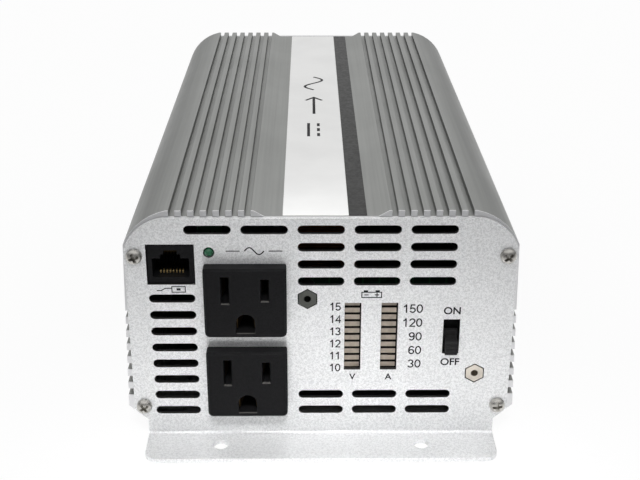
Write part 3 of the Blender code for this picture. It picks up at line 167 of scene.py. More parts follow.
class InverterStage(bpy.types.PropertyGroup):
    """Camera and light."""

    camera_place: bpy.props.FloatVectorProperty(
        name="Camera place", description="Where the camera stands", subtype="XYZ", unit="LENGTH", size=3,
        default=(-0.00402, -0.44310, 0.21745))
    camera_forward: way_of("Camera forward", "Where the camera looks", (0.00998, 0.91350, -0.40671))
    camera_right: way_of("Camera right", "The camera's right hand", (0.99995, -0.00995, 0.00224))
    lens: bpy.props.FloatProperty(
        name="Lens", description="Focal length on a 36 mm sensor, in millimetres", default=62.95)
    floor_white: colour_of("Floor", "Pale floor", (0.88, 0.88, 0.88))
    far_grey: colour_of("Far floor", "How metal shows the floor further in front", (0.25, 0.25, 0.25))
    sky_white: colour_of("Backdrop light", "Light from behind and above", (0.98, 0.98, 0.98))
    sky_grey: colour_of("Room light", "Light from the front of the room", (0.22, 0.22, 0.225))
    key_power: power_of("Key light", "Power of the overhead lamp", 0.13)
    fill_power: power_of("Fill light", "Power of the front lamp", 0.15)


def finishes():
    """The scene's colours."""
    return bpy.context.scene.inverter_finishes


def sizes():
    """The scene's sizes of details."""
    return bpy.context.scene.inverter_sizes


def node(tree, kind, settings=None, **inputs):
    """Add a shader node: settings are its attributes, and inputs are values or sockets by their names."""
    added = tree.nodes.new(kind)
    for name, value in (settings or {}).items():
        setattr(added, name, value)
    for name, value in inputs.items():
        plug(tree, added, name.replace("_", " "), value)
    return added


def plug(tree, target, name, value):
    """Set an input by name or number, or link a socket to it."""
    socket = target.inputs[int(name)] if name.isdigit() else target.inputs[name]
    if isinstance(value, bpy.types.NodeSocket):
        tree.links.new(value, socket)
    else:
        socket.default_value = value


def maths(tree, operation, first, second=0.0):
    """One Math node's result."""
    added = tree.nodes.new("ShaderNodeMath")
    added.operation = operation
    plug(tree, added, "0", first)
    plug(tree, added, "1", second)
    return added.outputs[0]


def mixed(tree, share, first, second):
    """Mix of two colours."""
    added = tree.nodes.new("ShaderNodeMix")
    added.data_type = "RGBA"
    plug(tree, added, "0", share)
    plug(tree, added, "6", first)
    plug(tree, added, "7", second)
    return added.outputs[2]


def ramp(tree, value, low, high, blend="SMOOTHSTEP"):
    """Value mapped from low and high to 0 and 1."""
    return node(tree, "ShaderNodeMapRange", {"interpolation_type": blend}, Value=value, From_Min=low,
                From_Max=high).outputs[0]


def noise(tree, place, scale, detail):
    """Noise at a place."""
    return node(tree, "ShaderNodeTexNoise", Vector=place, Scale=scale, Detail=detail).outputs[0]


def axes(tree, place):
    """X, Y and Z of a place."""
    return node(tree, "ShaderNodeSeparateXYZ", Vector=place).outputs


def opaque(colour, gain=1.0, lift=0.0):
    """Colour times a gain plus a lift, with full alpha."""
    return (*(part * gain + lift for part in colour[:3]), 1.0)


def tinted(tree, share, colour, gain, lift=0.0):
    """Mix of a colour and the same colour times a gain plus a lift."""
    return mixed(tree, share, opaque(colour), opaque(colour, gain, lift))


def group_tree(name, inputs, outputs):
    """New shader node group on a Vector, with named values in and out: (tree, its inputs, its outputs)."""
    tree = bpy.data.node_groups.new(name, "ShaderNodeTree")
    tree.interface.new_socket("Vector", in_out="INPUT", socket_type="NodeSocketVector")
    for label, value in inputs.items():
        socket = tree.interface.new_socket(label, in_out="INPUT", socket_type="NodeSocketFloat")
        socket.default_value = value
    for label in outputs:
        tree.interface.new_socket(label, in_out="OUTPUT", socket_type="NodeSocketFloat")
    return tree, tree.nodes.new("NodeGroupInput").outputs, tree.nodes.new("NodeGroupOutput").inputs


@cache
def grain_group():
    """Fine grains of two sizes: a mask from 0 to 1 and a soft height."""
    tree, given, result = group_tree(
        "fine_grain", {"Scale": 2000.0, "Low": 0.35, "High": 0.65}, ("Mask", "Height"))
    coarser, share = 0.37, 0.65
    fine = noise(tree, given["Vector"], given["Scale"], detail=2.0)
    coarse = noise(tree, given["Vector"], maths(tree, "MULTIPLY", given["Scale"], coarser), detail=1.0)
    fine, coarse = maths(tree, "MULTIPLY", fine, share), maths(tree, "MULTIPLY", coarse, 1 - share)
    both = maths(tree, "ADD", fine, coarse)
    tree.links.new(ramp(tree, both, given["Low"], given["High"]), result["Mask"])
    tree.links.new(both, result["Height"])
    return tree


@cache
def drawn_group():
    """Lines drawn along Y: noise stretched far along the length, as a mask and a height."""
    tree, given, result = group_tree("drawn_lines", {"Scale": 900.0, "Stretch": 0.012}, ("Mask", "Height"))
    squeeze = node(tree, "ShaderNodeCombineXYZ", X=1.0, Y=given["Stretch"], Z=1.0)
    along = node(tree, "ShaderNodeVectorMath", {"operation": "MULTIPLY"})
    tree.links.new(given["Vector"], along.inputs[0])
    tree.links.new(squeeze.outputs[0], along.inputs[1])
    lines = noise(tree, along.outputs[0], given["Scale"], detail=3.0)
    tree.links.new(ramp(tree, lines, low=0.3, high=0.7, blend="LINEAR"), result["Mask"])
    tree.links.new(lines, result["Height"])
    return tree


@cache
def handling_group():
    """Slow uneven patches, as hands and dust leave them: a mask from 0 to 1."""
    tree, given, result = group_tree("handling", {"Scale": 30.0}, ("Mask",))
    patch = noise(tree, given["Vector"], given["Scale"], detail=4.0)
    tree.links.new(ramp(tree, patch, low=0.35, high=0.7), result["Mask"])
    return tree


def blank(name, metallic=0.0, **plain):
    """New material: (material, its tree, its shader, Object coordinates), with plain shader values set."""
    material = bpy.data.materials.new(name)
    material.use_nodes = True
    tree = material.node_tree
    shader = tree.nodes["Principled BSDF"]
    shader.inputs["Metallic"].default_value = metallic
    for label, value in plain.items():
        shader.inputs[label.replace("_", " ")].default_value = value
    place = tree.nodes.new("ShaderNodeTexCoord").outputs["Object"]
    return material, tree, shader, place


def placed(tree, group, place, **values):
    """Outputs of a node group on Object coordinates with its own values."""
    added = tree.nodes.new("ShaderNodeGroup")
    added.node_tree = group
    plug(tree, added, "Vector", place)
    for label, value in values.items():
        plug(tree, added, label, value)
    return added.outputs


def worn(tree, place, scale):
    """Mask of slow uneven patches."""
    return placed(tree, handling_group(), place, Scale=scale)["Mask"]


def marked(tree, label):
    """A face attribute of the piece, 0 or 1."""
    return node(tree, "ShaderNodeAttribute", {"attribute_name": label}).outputs["Fac"]


def finish(tree, shader, colour, share, start, end):
    """Give the shader a colour, and a roughness that goes from start to end as a share goes from 0 to 1."""
    tree.links.new(colour, shader.inputs["Base Color"])
    roughness = maths(tree, "ADD", maths(tree, "MULTIPLY", share, end - start), start)
    tree.links.new(roughness, shader.inputs["Roughness"])


def bumped(tree, shader, height, strength, distance=0.0001):
    """Raise a height on the shader's normal."""
    bump = node(tree, "ShaderNodeBump", Height=height, Strength=strength, Distance=distance)
    tree.links.new(bump.outputs[0], shader.inputs["Normal"])


@cache
def anodised_case():
    """Satin grey anodising with drawn lines, and bare bright metal where the ends were sawn."""
    material, tree, shader, place = blank("satin_anodising", metallic=0.85)
    lines = placed(tree, drawn_group(), place)
    patches = worn(tree, place, 22.0)
    drawn = tinted(tree, lines["Mask"], finishes().case_grey, gain=1.14)
    reach = maths(tree, "ABSOLUTE", axes(tree, place)["Y"])
    sawn = maths(tree, "GREATER_THAN", reach, CASE_HIGH.y - SAWN_DEPTH)
    colour = mixed(tree, sawn, drawn, opaque(finishes().cut_grey))
    finish(tree, shader, colour, patches, start=0.40, end=0.50)
    bumped(tree, shader, lines["Height"], strength=0.12)
    return material


@cache
def blasted_panel():
    """Bead-blasted silver sheet: light and dark grains with a soft uneven sheen, and painted shade on the
    punched walls where their mark is 1.
    """
    material, tree, shader, place = blank("blasted_silver", metallic=0.5)
    grain = placed(tree, grain_group(), place, Scale=3200.0, Low=0.38, High=0.60)
    patches = worn(tree, place, 40.0)
    fleck = mixed(tree, grain["Mask"], opaque(finishes().panel_fleck), opaque(finishes().panel_silver))
    # Painted shade on the punched walls
    colour = mixed(tree, marked(tree, "shaded_cut_edge"), fleck, opaque(finishes().punched_dark))
    finish(tree, shader, colour, patches, start=0.34, end=0.42)
    bumped(tree, shader, grain["Height"], strength=0.22)
    return material


@cache
def moulded(name, colour, rough=0.46, fine=2600.0, shine=0.07, rubbed=None):
    """Moulded plastic: fine spark texture, uneven gloss, and a painted highlight colour on the lit lips where
    their mark is 1.
    """
    material, tree, shader, place = blank(name, Specular_IOR_Level=shine)
    grain = placed(tree, grain_group(), place, Scale=fine)
    patches = worn(tree, place, 60.0)
    tone = tinted(tree, grain["Mask"], colour, gain=1.35, lift=0.002)
    if rubbed:
        # Painted highlight on the lit lips
        tone = mixed(tree, marked(tree, "ledge_highlight_face"), tone, opaque(rubbed))
    finish(tree, shader, tone, patches, start=rough - 0.06, end=rough + 0.08)
    bumped(tree, shader, grain["Height"], strength=0.10)
    return material


@cache
def plated(name, colour, rough=0.24):
    """Plated metal with fine scratches and patches of duller plating."""
    material, tree, shader, place = blank(name, metallic=1.0)
    grain = placed(tree, grain_group(), place, Scale=1400.0, Low=0.3, High=0.7)
    patches = worn(tree, place, 160.0)
    tone = tinted(tree, patches, colour, gain=0.78)
    finish(tree, shader, tone, grain["Mask"], start=rough, end=rough + 0.14)
    bumped(tree, shader, grain["Height"], strength=0.06)
    return material


def black_plastic():
    """Black plastic of the jack, the switch's body, the transistors and the negative terminal."""
    return moulded("black_plastic", tuple(finishes().moulding_black))


def nickel_plate():
    """Nickel plating of the screws, nuts, guard and clamps."""
    return plated("nickel_plate", tuple(finishes().nickel))


def printing_ink():
    """Ink of the legends and signs."""
    return moulded("printed_ink", tuple(finishes().ink), rough=0.5)


@cache
def gilt_wire():
    """Sprung wires: dark with painted shade over most of their length, bright gold near their lowest ends
    where light falls on them.
    """
    material, tree, shader, place = blank("gilding", metallic=1.0)
    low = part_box("remote_jack_contacts")[0]
    # Painted shade: dark brown higher up, where the wires lie in shadow, and bright gold at their lit lowest
    # ends
    lit_share = ramp(tree, axes(tree, place)["Z"], low.z + WIRE_SHADE_HEIGHT, low.z + WIRE_LIT_HEIGHT)
    patches = worn(tree, place, 700.0)
    colour = mixed(tree, lit_share, (0.05, 0.034, 0.014, 1.0), (0.90, 0.68, 0.32, 1.0))
    finish(tree, shader, colour, patches, start=0.26, end=0.42)
    return material


@cache
def green_lens():
    """Green diffused lens with a glossy skin and cloudy depth."""
    material, tree, shader, place = blank("green_diffuser", Coat_Weight=0.25, Coat_Roughness=0.08)
    cloud = worn(tree, place, 900.0)
    colour = tinted(tree, cloud, finishes().lens_green, gain=1.5, lift=0.008)
    finish(tree, shader, colour, cloud, start=0.18, end=0.30)
    return material


@cache
def meter_segments():
    """Unlit segments: taupe diffusers with black grooves between them and a painted shadow at their right,
    where the window's edge shades them.
    """
    material, tree, shader, place = blank("taupe_segments", Specular_IOR_Level=0.1)
    low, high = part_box("volts_bar_display")
    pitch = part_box("amps_bar_display")[0].x - low.x
    split = axes(tree, place)
    rise = maths(tree, "SUBTRACT", split["Z"], low.z)
    step = maths(tree, "FRACT", maths(tree, "DIVIDE", rise, (high.z - low.z) / SEGMENTS))
    lens = ramp(tree, maths(tree, "ABSOLUTE", maths(tree, "SUBTRACT", step, 0.5)), GROOVE_DARK, GROOVE_CLEAR)
    depth = ramp(tree, split["Y"], low.y + SEGMENT_DEPTH, low.y, "LINEAR")
    across = maths(tree, "DIVIDE", maths(tree, "SUBTRACT", split["X"], (low.x + high.x) / 2), pitch)
    across = maths(tree, "SUBTRACT", across, maths(tree, "ROUND", across))
    # Painted shadow of the window's edge along the right of each display
    rim = ramp(tree, maths(tree, "MULTIPLY", across, pitch), RIGHT_SHADOW_DARK, RIGHT_SHADOW_CLEAR, "LINEAR")
    face = maths(tree, "MULTIPLY", maths(tree, "MULTIPLY", lens, depth), rim)
    cloud = worn(tree, place, 500.0)
    diffuser = tinted(tree, cloud, finishes().segment_taupe, gain=0.78)
    colour = mixed(tree, face, (0.002, 0.002, 0.002, 1.0), diffuser)
    finish(tree, shader, colour, cloud, start=0.30, end=0.42)
    return material


@cache
def board_laminate():
    """Green laminate with paler tracks where copper runs under the mask."""
    material, tree, shader, place = blank("green_laminate", Specular_IOR_Level=0.2)
    tracks = node(tree, "ShaderNodeTexBrick", {"offset": 0.5}, Vector=place, Scale=90.0, Mortar_Size=0.03)
    weave = placed(tree, grain_group(), place, Scale=1800.0)
    mask = mixed(tree, weave["Mask"], (0.004, 0.020, 0.010, 1.0), (0.006, 0.028, 0.014, 1.0))
    colour = mixed(tree, tracks.outputs["Fac"], mask, (0.012, 0.05, 0.022, 1.0))
    finish(tree, shader, colour, weave["Mask"], start=0.30, end=0.42)
    return material


@cache
def copper_winding():
    """Enamelled copper wire: fine turns side by side."""
    material, tree, shader, place = blank("enamelled_copper", metallic=0.85)
    turns = node(tree, "ShaderNodeTexWave", {"bands_direction": "Z"}, Vector=place, Scale=420.0,
                 Distortion=0.6).outputs["Fac"]
    colour = mixed(tree, turns, (0.06, 0.022, 0.010, 1.0), (0.26, 0.11, 0.05, 1.0))
    finish(tree, shader, colour, turns, start=0.45, end=0.28)
    bumped(tree, shader, turns, strength=0.5, distance=0.0003)
    return material


@cache
def label_film(name, colour):
    """Coated label film with a faint satin unevenness."""
    material, tree, shader, place = blank(name, Specular_IOR_Level=0.22)
    patches = worn(tree, place, 45.0)
    fibre = placed(tree, grain_group(), place, Scale=900.0)
    tone = tinted(tree, patches, colour, gain=0.95)
    finish(tree, shader, tone, fibre["Mask"], start=0.34, end=0.46)
    bumped(tree, shader, fibre["Height"], strength=0.05)
    return material


def linked(name, data):
    """New object in the scene."""
    item = bpy.data.objects.new(name, data)
    bpy.context.scene.collection.objects.link(item)
    return item


def paint(material, *names):
    """Give CAD nodes a finish."""
    for name in names:
        NODES[name].data.materials.clear()
        NODES[name].data.materials.append(material)


def piece(name, points, faces, material, slot, smooth=True, crease=40.0):
    """New mesh object at the origin that rides on the housing, with its material; slot is not used."""
    mesh = bpy.data.meshes.new(name)
    mesh.from_pydata(points.tolist(), [], faces)
    mesh.update()
    return dress(mesh, name, material, HOUSING, smooth, crease)


def dress(mesh, name, material, body, smooth, crease):
    """Put a finished mesh into the scene as a piece of a body."""
    mesh.materials.clear()
    mesh.materials.append(material)
    if smooth:
        mesh.shade_smooth()
        mesh.set_sharp_from_angle(angle=math.radians(crease))
    item = linked(name, mesh)
    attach(item, body)
    return item


def eased(source, name, material, edge=0.0, body=HOUSING, crease=38.0, split=None):
    """Copy of a CAD node that stands for it, with merged corners, rounded edges and faces split at a Y."""
    shape = bmesh.new()
    shape.from_mesh(NODES[source].data)
    bmesh.ops.remove_doubles(shape, verts=shape.verts, dist=CAD_MERGE)
    bmesh.ops.dissolve_limit(shape, angle_limit=FLAT_ANGLE, verts=shape.verts, edges=shape.edges)
    if split is not None:
        whole = [*shape.verts, *shape.edges, *shape.faces]
        bmesh.ops.bisect_plane(
            shape, geom=whole, plane_co=(0, split, 0), plane_no=(0, 1, 0), dist=PIECE_MERGE)
    mesh = bpy.data.meshes.new(name)
    shape.to_mesh(mesh)
    shape.free()
    for label in ("custom_normal", "sharp_edge", "sharp_face"):
        if label in mesh.attributes:
            mesh.attributes.remove(mesh.attributes[label])
    item = dress(mesh, name, material, body, True, crease)
    if edge > 0:
        bevel = item.modifiers.new("eased edges", "BEVEL")
        bevel.width = edge
        bevel.segments = 2
        bevel.limit_method = "ANGLE"
        bevel.angle_limit = math.radians(crease)
        bevel.loop_slide = False
        bevel.harden_normals = True
    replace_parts(item, source)
    return item


def closed_up(item):
    """Merge a piece's poles and point its faces outwards."""
    shape = bmesh.new()
    shape.from_mesh(item.data)
    bmesh.ops.remove_doubles(shape, verts=shape.verts, dist=PIECE_MERGE)
    bmesh.ops.recalc_face_normals(shape, faces=shape.faces)
    shape.to_mesh(item.data)
    shape.free()
    return item


def grid_faces(rows, columns, wrap=False):
    """Quads of a grid of rows by columns, with its columns closed round if wrap."""
    r = np.arange(rows - 1)[:, None] * columns
    c = np.arange(columns if wrap else columns - 1)[None, :]
    following = (c + 1) % columns
    quads = np.stack([r + c, r + following, r + columns + following, r + columns + c])
    return quads.reshape(4, -1).T.tolist()


def closed_grid(rows):
    """Points and faces of a grid of points whose rows are closed round."""
    return rows.reshape(-1, 3), grid_faces(*rows.shape[:2], wrap=True)


def joined(shapes):
    """Shapes (points, faces) as one."""
    starts = np.cumsum([0, *(len(points) for points, _ in shapes)]).tolist()
    faces = [(np.array(face) + start).tolist() for start, (_, own) in zip(starts, shapes) for face in own]
    return np.concatenate([points for points, _ in shapes]), faces


def around(count):
    """Angles of a full turn, without its end."""
    return np.linspace(0, TURN, count, endpoint=False)


def screw_head(head, angle):
    """Pan head along +Z with a cross recess, as rings of points.

    Height is rise * (1 - (r/R)^bulge)^(1/bulge). The recess takes away a depth that falls from the middle
    to the arms' ends and rises steeply at the arms' sides. The last rings close the head under its rim.
    """
    rise, radius, bulge = head * HEAD_RISE, head / 2, 2.6
    # Recess: reach, fall, half width and wall of an arm, over the radius, and its depth over the rise
    arm, fall, half, wall, depth = 0.66, 0.34, 0.17, 0.05, 0.85
    r = np.concatenate([np.linspace(0, 0.80, 34), np.linspace(0.83, 1.0, 10)])[:, None] * radius
    t = around(96)[None, :]
    x, y = r * np.cos(t), r * np.sin(t)
    u, v = np.abs(x * np.cos(angle) + y * np.sin(angle)), np.abs(y * np.cos(angle) - x * np.sin(angle))
    far, near = np.maximum(u, v), np.minimum(u, v)
    dome = rise * np.clip(1 - (r / radius) ** bulge, 0, 1) ** (1 / bulge)
    ends = np.clip((arm * radius - far) / (fall * radius), 0, 1)
    sides = np.clip((half * radius - near) / (wall * radius), 0, 1)
    top = np.stack([x, y, dome - depth * rise * (ends * sides)], -1)
    rim = np.stack([radius * np.cos(t), radius * np.sin(t), 0 * t], -1)
    return np.concatenate([top, rim, 0 * rim])


def add_screw(source, head, angle, direction):
    """Smooth screw head in place of a faceted one: its axis points along direction on Y."""
    low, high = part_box(source)
    middle = (low + high) / 2
    tip = low.y if direction < 0 else high.y
    points, faces = closed_grid(screw_head(head, angle))
    x, y, z = points.T
    seat = tip - direction * head * HEAD_RISE
    place = np.stack([middle.x - direction * x, seat + direction * z, middle.z + y], -1)
    item = piece(source + "_head", place, faces, nickel_plate(), "nickel_steel", crease=50.0)
    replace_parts(closed_up(item), source)


def stud_thread(x, z, start, end, pitch):
    """Thread along Y: radius = root + (crest - root) * triangle wave of (y / pitch - angle / one turn).

    The wave is made steeper and cut off at 0 and 1, for flats at root and crest, and fades out at the end.
    """
    steep, flat, steps = 1.6, 0.3, 10
    t = around(48)[None, :]
    y = np.arange(start, end, pitch / steps)[:, None]
    phase = (y - start) / pitch - t / TURN
    wave = 1 - np.abs(2 * (phase - np.floor(phase)) - 1)
    fade = np.clip((end - y) / pitch, 0, 1)
    radius = THREAD_ROOT + (THREAD_CREST - THREAD_ROOT) * np.clip(steep * wave - flat, 0, 1) * fade
    rows = np.stack([x + radius * np.cos(t), y + 0 * t, z + radius * np.sin(t)], -1)
    poles = np.stack([x + 0 * t, 0 * t, z + 0 * t], -1)
    return np.concatenate([poles + [0, start, 0], rows, poles + [0, y[-1, 0], 0]])


def film(left, right, front, rear, low, thickness, corner, steps=6):
    """Thin sheet with round corners: its outline at the bottom, under the edge, and inset at the top."""
    quarter = np.linspace(0, np.pi / 2, steps)
    turn = np.concatenate([quarter + k * np.pi / 2 for k in range(4)])
    side = np.repeat([[1, 1], [-1, 1], [-1, -1], [1, -1]], steps, axis=0)
    half = np.array([(right - left) / 2, (rear - front) / 2]) - corner
    middle = np.array([(left + right) / 2, (front + rear) / 2])
    spoke = np.stack([np.cos(turn), np.sin(turn)], -1)
    rings = []
    round_edge = thickness * 0.6
    for height, inset in ((0, 0), (round_edge, 0), (thickness, round_edge)):
        flat = middle + side * half + spoke * (corner - inset)
        rings.append(np.column_stack([flat, np.full(len(flat), low + height)]))
    count = 4 * steps
    faces = grid_faces(3, count, wrap=True)
    faces += [list(range(2 * count, 3 * count)), list(range(count - 1, -1, -1))]
    return np.concatenate(rings), faces


def ribbon(points, width, closed=False):
    """Flat line of even width: each point moved half the width along its normal, to both sides."""
    path = np.asarray(points, float)
    ahead = np.roll(path, -1, 0) - path
    behind = path - np.roll(path, 1, 0)
    if not closed:
        ahead[-1], behind[0] = behind[-1], ahead[0]
    ahead /= np.linalg.norm(ahead, axis=1)[:, None]
    behind /= np.linalg.norm(behind, axis=1)[:, None]
    along = ahead + behind
    along /= np.linalg.norm(along, axis=1)[:, None]
    normal = np.stack([-along[:, 1], along[:, 0]], -1)
    miter = np.clip(np.sum(along * ahead, 1), 0.5, 1)[:, None]
    shift = normal * width / 2 / miter
    return np.concatenate([path + shift, path - shift]), grid_faces(2, len(path), wrap=closed)


def printed(name, shapes, to_world, outward):
    """Flat shapes joined in one film of ink, placed by to_world and turned outwards."""
    points, faces = joined(shapes)
    item = piece(name, to_world(points), faces, printing_ink(), "black_moulding", smooth=False)
    shape = bmesh.new()
    shape.from_mesh(item.data)
    shape.normal_update()
    inward = [face for face in shape.faces if face.normal.dot(outward) < 0]
    bmesh.ops.reverse_faces(shape, faces=inward)
    shape.to_mesh(item.data)
    shape.free()
    ink = item.modifiers.new("ink film", "SOLIDIFY")
    ink.thickness = sizes().ink_film * INK_SHARE
    ink.offset = -1.0


def on_panel(points):
    """Flat points (x, z) onto the front panel's ink."""
    return np.column_stack([points[:, 0], np.full(len(points), PANEL_Y - sizes().ink_film), points[:, 1]])


def lettering(text, height, x, z):
    """Flat letters as (points, faces): capitals of a height, with their middle at a place."""
    curve = bpy.data.curves.new("letters", "FONT")
    curve.body = text
    curve.size = 1.0
    curve.offset = LETTER_WEIGHT
    item = linked("letters", curve)
    graph = bpy.context.evaluated_depsgraph_get()
    mesh = bpy.data.meshes.new_from_object(item.evaluated_get(graph))
    points = np.zeros(len(mesh.vertices) * 3)
    mesh.vertices.foreach_get("co", points)
    flat = points.reshape(-1, 3)[:, :2]
    faces = [list(polygon.vertices) for polygon in mesh.polygons]
    bpy.data.objects.remove(item, do_unlink=True)
    low, high = flat.min(0), flat.max(0)
    return (flat - (low + high) / 2) * height / (high[1] - low[1]) + [x, z], faces


def bow(x, z, width, height, start, end, steps=20):
    """Points of an ellipse about (x, z), from one angle to another in degrees."""
    t = np.radians(np.linspace(start, end, steps))
    return np.stack([x + width * np.cos(t), z + height * np.sin(t)], -1)


def digit_strokes(digit):
    """Middle lines of a plain digit that is 1 high."""
    if digit == "9":
        return [np.array([DIGIT_WIDTH, 1.0]) - stroke for stroke in digit_strokes("6")]
    line = np.array
    return {
        "0": [bow(0.28, 0.5, 0.22, 0.435, 90, 450, 41)],
        "1": [np.concatenate([bow(0.04, 1.0, 0.27, 0.27, 280, 345, 6), line([[0.33, 1.0]])]),
              line([[0.33, 1.0], [0.33, 0.0]])],
        "2": [np.concatenate([bow(0.28, 0.69, 0.21, 0.245, 175, -38),
                              line([[0.075, 0.065], [0.53, 0.065]])])],
        "3": [bow(0.26, 0.715, 0.195, 0.22, 165, -90), bow(0.26, 0.28, 0.22, 0.215, 90, -165)],
        "4": [line([[0.415, 0.0], [0.415, 0.93], [0.06, 0.29], [0.56, 0.29]])],
        "5": [np.concatenate([line([[0.49, 0.935], [0.14, 0.935], [0.085, 0.49]]),
                              bow(0.265, 0.32, 0.22, 0.255, 125, -160)])],
        "6": [bow(0.285, 0.31, 0.205, 0.245, 90, 450, 41), bow(0.305, 0.5, 0.235, 0.435, 40, 200)],
    }[digit]


def numeral(number, height, breadth, right, z):
    """Printed number: strokes of even width, with its right edge and its middle height at a place."""
    strokes = []
    for place, digit in enumerate(reversed(str(number))):
        shift = [right - height * breadth * (DIGIT_WIDTH + DIGIT_STEP * place), z - height / 2]
        for line in digit_strokes(digit):
            strokes.append(ribbon(line * [height * breadth, height] + shift, height * DIGIT_STROKE))
    return joined(strokes)


def meter_scale(numbers, height, breadth, right, top, pitch, unit, unit_x):
    """Numbers down the side of a meter, with its unit under it."""
    rows = enumerate(numbers)
    marks = [numeral(number, height, breadth, right, top - pitch * row) for row, number in rows]
    return [*marks, lettering(unit, UNIT_HEIGHT, unit_x, UNIT_Z)]


class INVERTER_OT_case(bpy.types.Operator):
    """Dress the extruded case and the base plate"""

    bl_idname = "inverter.case"
    bl_label = "Case"

    def execute(self, context):
        eased("case_extrusion", "case_shell", anodised_case(), sizes().case_edge)
        paint(anodised_case(), "base_plate")
        return {"FINISHED"}


def mark_faces(mesh, label, chosen):
    """Write a face attribute: 1 where chosen(centres, normals) is true, else 0."""
    faces = len(mesh.polygons)
    centre, normal = np.empty(faces * 3), np.empty(faces * 3)
    mesh.polygons.foreach_get("center", centre)
    mesh.polygons.foreach_get("normal", normal)
    picked = chosen(centre.reshape(-1, 3), normal.reshape(-1, 3))
    mesh.attributes.new(label, "FLOAT", "FACE").data.foreach_set("value", picked.astype(np.float32))


def punched_walls(centre, normal):
    """Walls that stand across the sheet, inside its outline: they lie in shade and get painted shade."""
    inside = (np.abs(centre[:, 0]) < CUT_HALF) & (centre[:, 2] > CUT_LOW) & (centre[:, 2] < CUT_HIGH)
    return inside & (np.abs(normal[:, 1]) < FACING)


class INVERTER_OT_panels(bpy.types.Operator):
    """Dress the stamped front and rear panels and the standoffs in the front one"""

    bl_idname = "inverter.panels"
    bl_label = "Panels"

    def execute(self, context):
        for end in ("front", "rear"):
            source = f"{end}_panel"
            sheet = eased(source, f"{source}_sheet", blasted_panel(), sizes().sheet_edge)
            # Mark the punched walls for their painted shade
            mark_faces(sheet.data, "shaded_cut_edge", punched_walls)
        # The two standoffs get different tones: dark grey on the left, pale cream on the right
        dark_grey_metal = plated("standoff_dark_grey", (0.17, 0.175, 0.16), rough=0.4)
        pale_cream_metal = plated("standoff_pale_cream", (0.93, 0.86, 0.76), rough=0.4)
        for side, metal, slot in (("left", dark_grey_metal, "nickel_steel"), ("right", pale_cream_metal, "brass")):
            eased(f"display_standoff_{side}", f"standoff_{side}", metal, edge=0.0001)
        return {"FINISHED"}


class INVERTER_OT_screws(bpy.types.Operator):
    """Smooth cross-recess screws in place of the plain ones"""

    bl_idname = "inverter.screws"
    bl_label = "Screws"

    def execute(self, context):
        for end, direction in (("front", -1), ("rear", 1)):
            for number, angle in enumerate(PANEL_SCREW_TURNS, 1):
                add_screw(f"{end}_panel_screw_{number}", PANEL_SCREW_HEAD, angle, direction)
        for number, angle in enumerate(FAN_SCREW_TURNS, 1):
            add_screw(f"fan_screw_{number}", FAN_SCREW_HEAD, angle, 1)
        paint(nickel_plate(), "display_board_screw_1", "display_board_screw_2")
        return {"FINISHED"}


def slot_lips(source):
    """Rule for the upward walls just inside the face of an outlet, where light from above falls: they get a
    painted highlight.
    """
    low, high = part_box(source)

    def chosen(centre, normal):
        depth = centre[:, 1] - low.y
        inside = (centre[:, 0] > low.x + LIP_MARGIN) & (centre[:, 0] < high.x - LIP_MARGIN)
        inside &= (centre[:, 2] < high.z - LIP_MARGIN) & (depth > LIP_START) & (depth < LIP_DEPTH)
        return inside & (normal[:, 2] > FACING)

    return chosen


class INVERTER_OT_outlets(bpy.types.Operator):
    """Dress the outlets and their contacts"""

    bl_idname = "inverter.outlets"
    bl_label = "Outlets"

    def execute(self, context):
        # Outlet plastic with a painted highlight colour on its lit lips
        black = moulded("outlet_plastic", tuple(finishes().moulding_black),
                        rubbed=tuple(finishes().rubbed_grey))
        brass = plated("dull_brass", (0.20, 0.14, 0.07), rough=0.5)
        for source in ("outlet_upper", "outlet_lower"):
            face = eased(source, f"{source}_moulding", black, sizes().moulding_edge,
                         split=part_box(source)[0].y + LIP_DEPTH)
            # Mark the lit lips for their painted highlight
            mark_faces(face.data, "ledge_highlight_face", slot_lips(source))
            paint(brass, *(f"{source}_{way}_contact" for way in ("neutral", "live", "ground")))
        return {"FINISHED"}


class INVERTER_OT_controls(bpy.types.Operator):
    """Dress the remote jack, status light, bar displays and slide switch"""

    bl_idname = "inverter.controls"
    bl_label = "Jack, light, meters and switch"

    def execute(self, context):
        eased("remote_jack", "jack_moulding", black_plastic(), edge=0.00012)
        eased("remote_jack_contacts", "jack_wires", gilt_wire())
        eased("status_led", "light_lens", green_lens())
        paint(meter_segments(), "volts_bar_display", "amps_bar_display")
        grip = moulded("knob_plastic", tuple(finishes().knob_black))
        eased("power_switch_slider", "switch_knob", grip, edge=0.00018, body="switch_knob")
        paint(black_plastic(), "power_switch_body")
        paint(board_laminate(), "remote_board", "display_board")
        return {"FINISHED"}


class INVERTER_OT_legends(bpy.types.Operator):
    """Print the meter scales, the switch's words and plain signs on the front panel"""

    bl_idname = "inverter.legends"
    bl_label = "Legends"

    def execute(self, context):
        legends = {
            "volts_scale": meter_scale(
                range(15, 9, -1), height=0.0029, breadth=1.12, right=0.0064, top=0.0498, pitch=0.00456,
                unit="V", unit_x=0.0104),
            "amps_scale": meter_scale(
                range(150, 0, -30), height=0.0031, breadth=1.21, right=0.0331, top=0.0490, pitch=0.00514,
                unit="A", unit_x=0.0224),
            "switch_words": [lettering("ON", WORD_HEIGHT, x=0.0427, z=0.0482),
                             lettering("OFF", WORD_HEIGHT, x=0.0428, z=0.0291)],
            "battery_sign": battery_sign(x=0.0163, z=0.0543),
            "output_sign": output_sign(x=-0.0214, z=0.0697),
            "remote_sign": remote_sign(x=-0.04805, z=0.0562),
        }
        for name, shapes in legends.items():
            printed(name, shapes, on_panel, PANEL_OUT)
        return {"FINISHED"}


def wave_line(length, height, steps=48):
    """Points of one sine wave about the origin: y = height / 2 * sin(angle)."""
    u = np.linspace(-0.5, 0.5, steps)
    return np.stack([u * length, height / 2 * np.sin(TURN * (u + 0.5))], -1)


def dash(x, z, length, width):
    """Level line with its middle at a place."""
    return ribbon([[x - length / 2, z], [x + length / 2, z]], width)


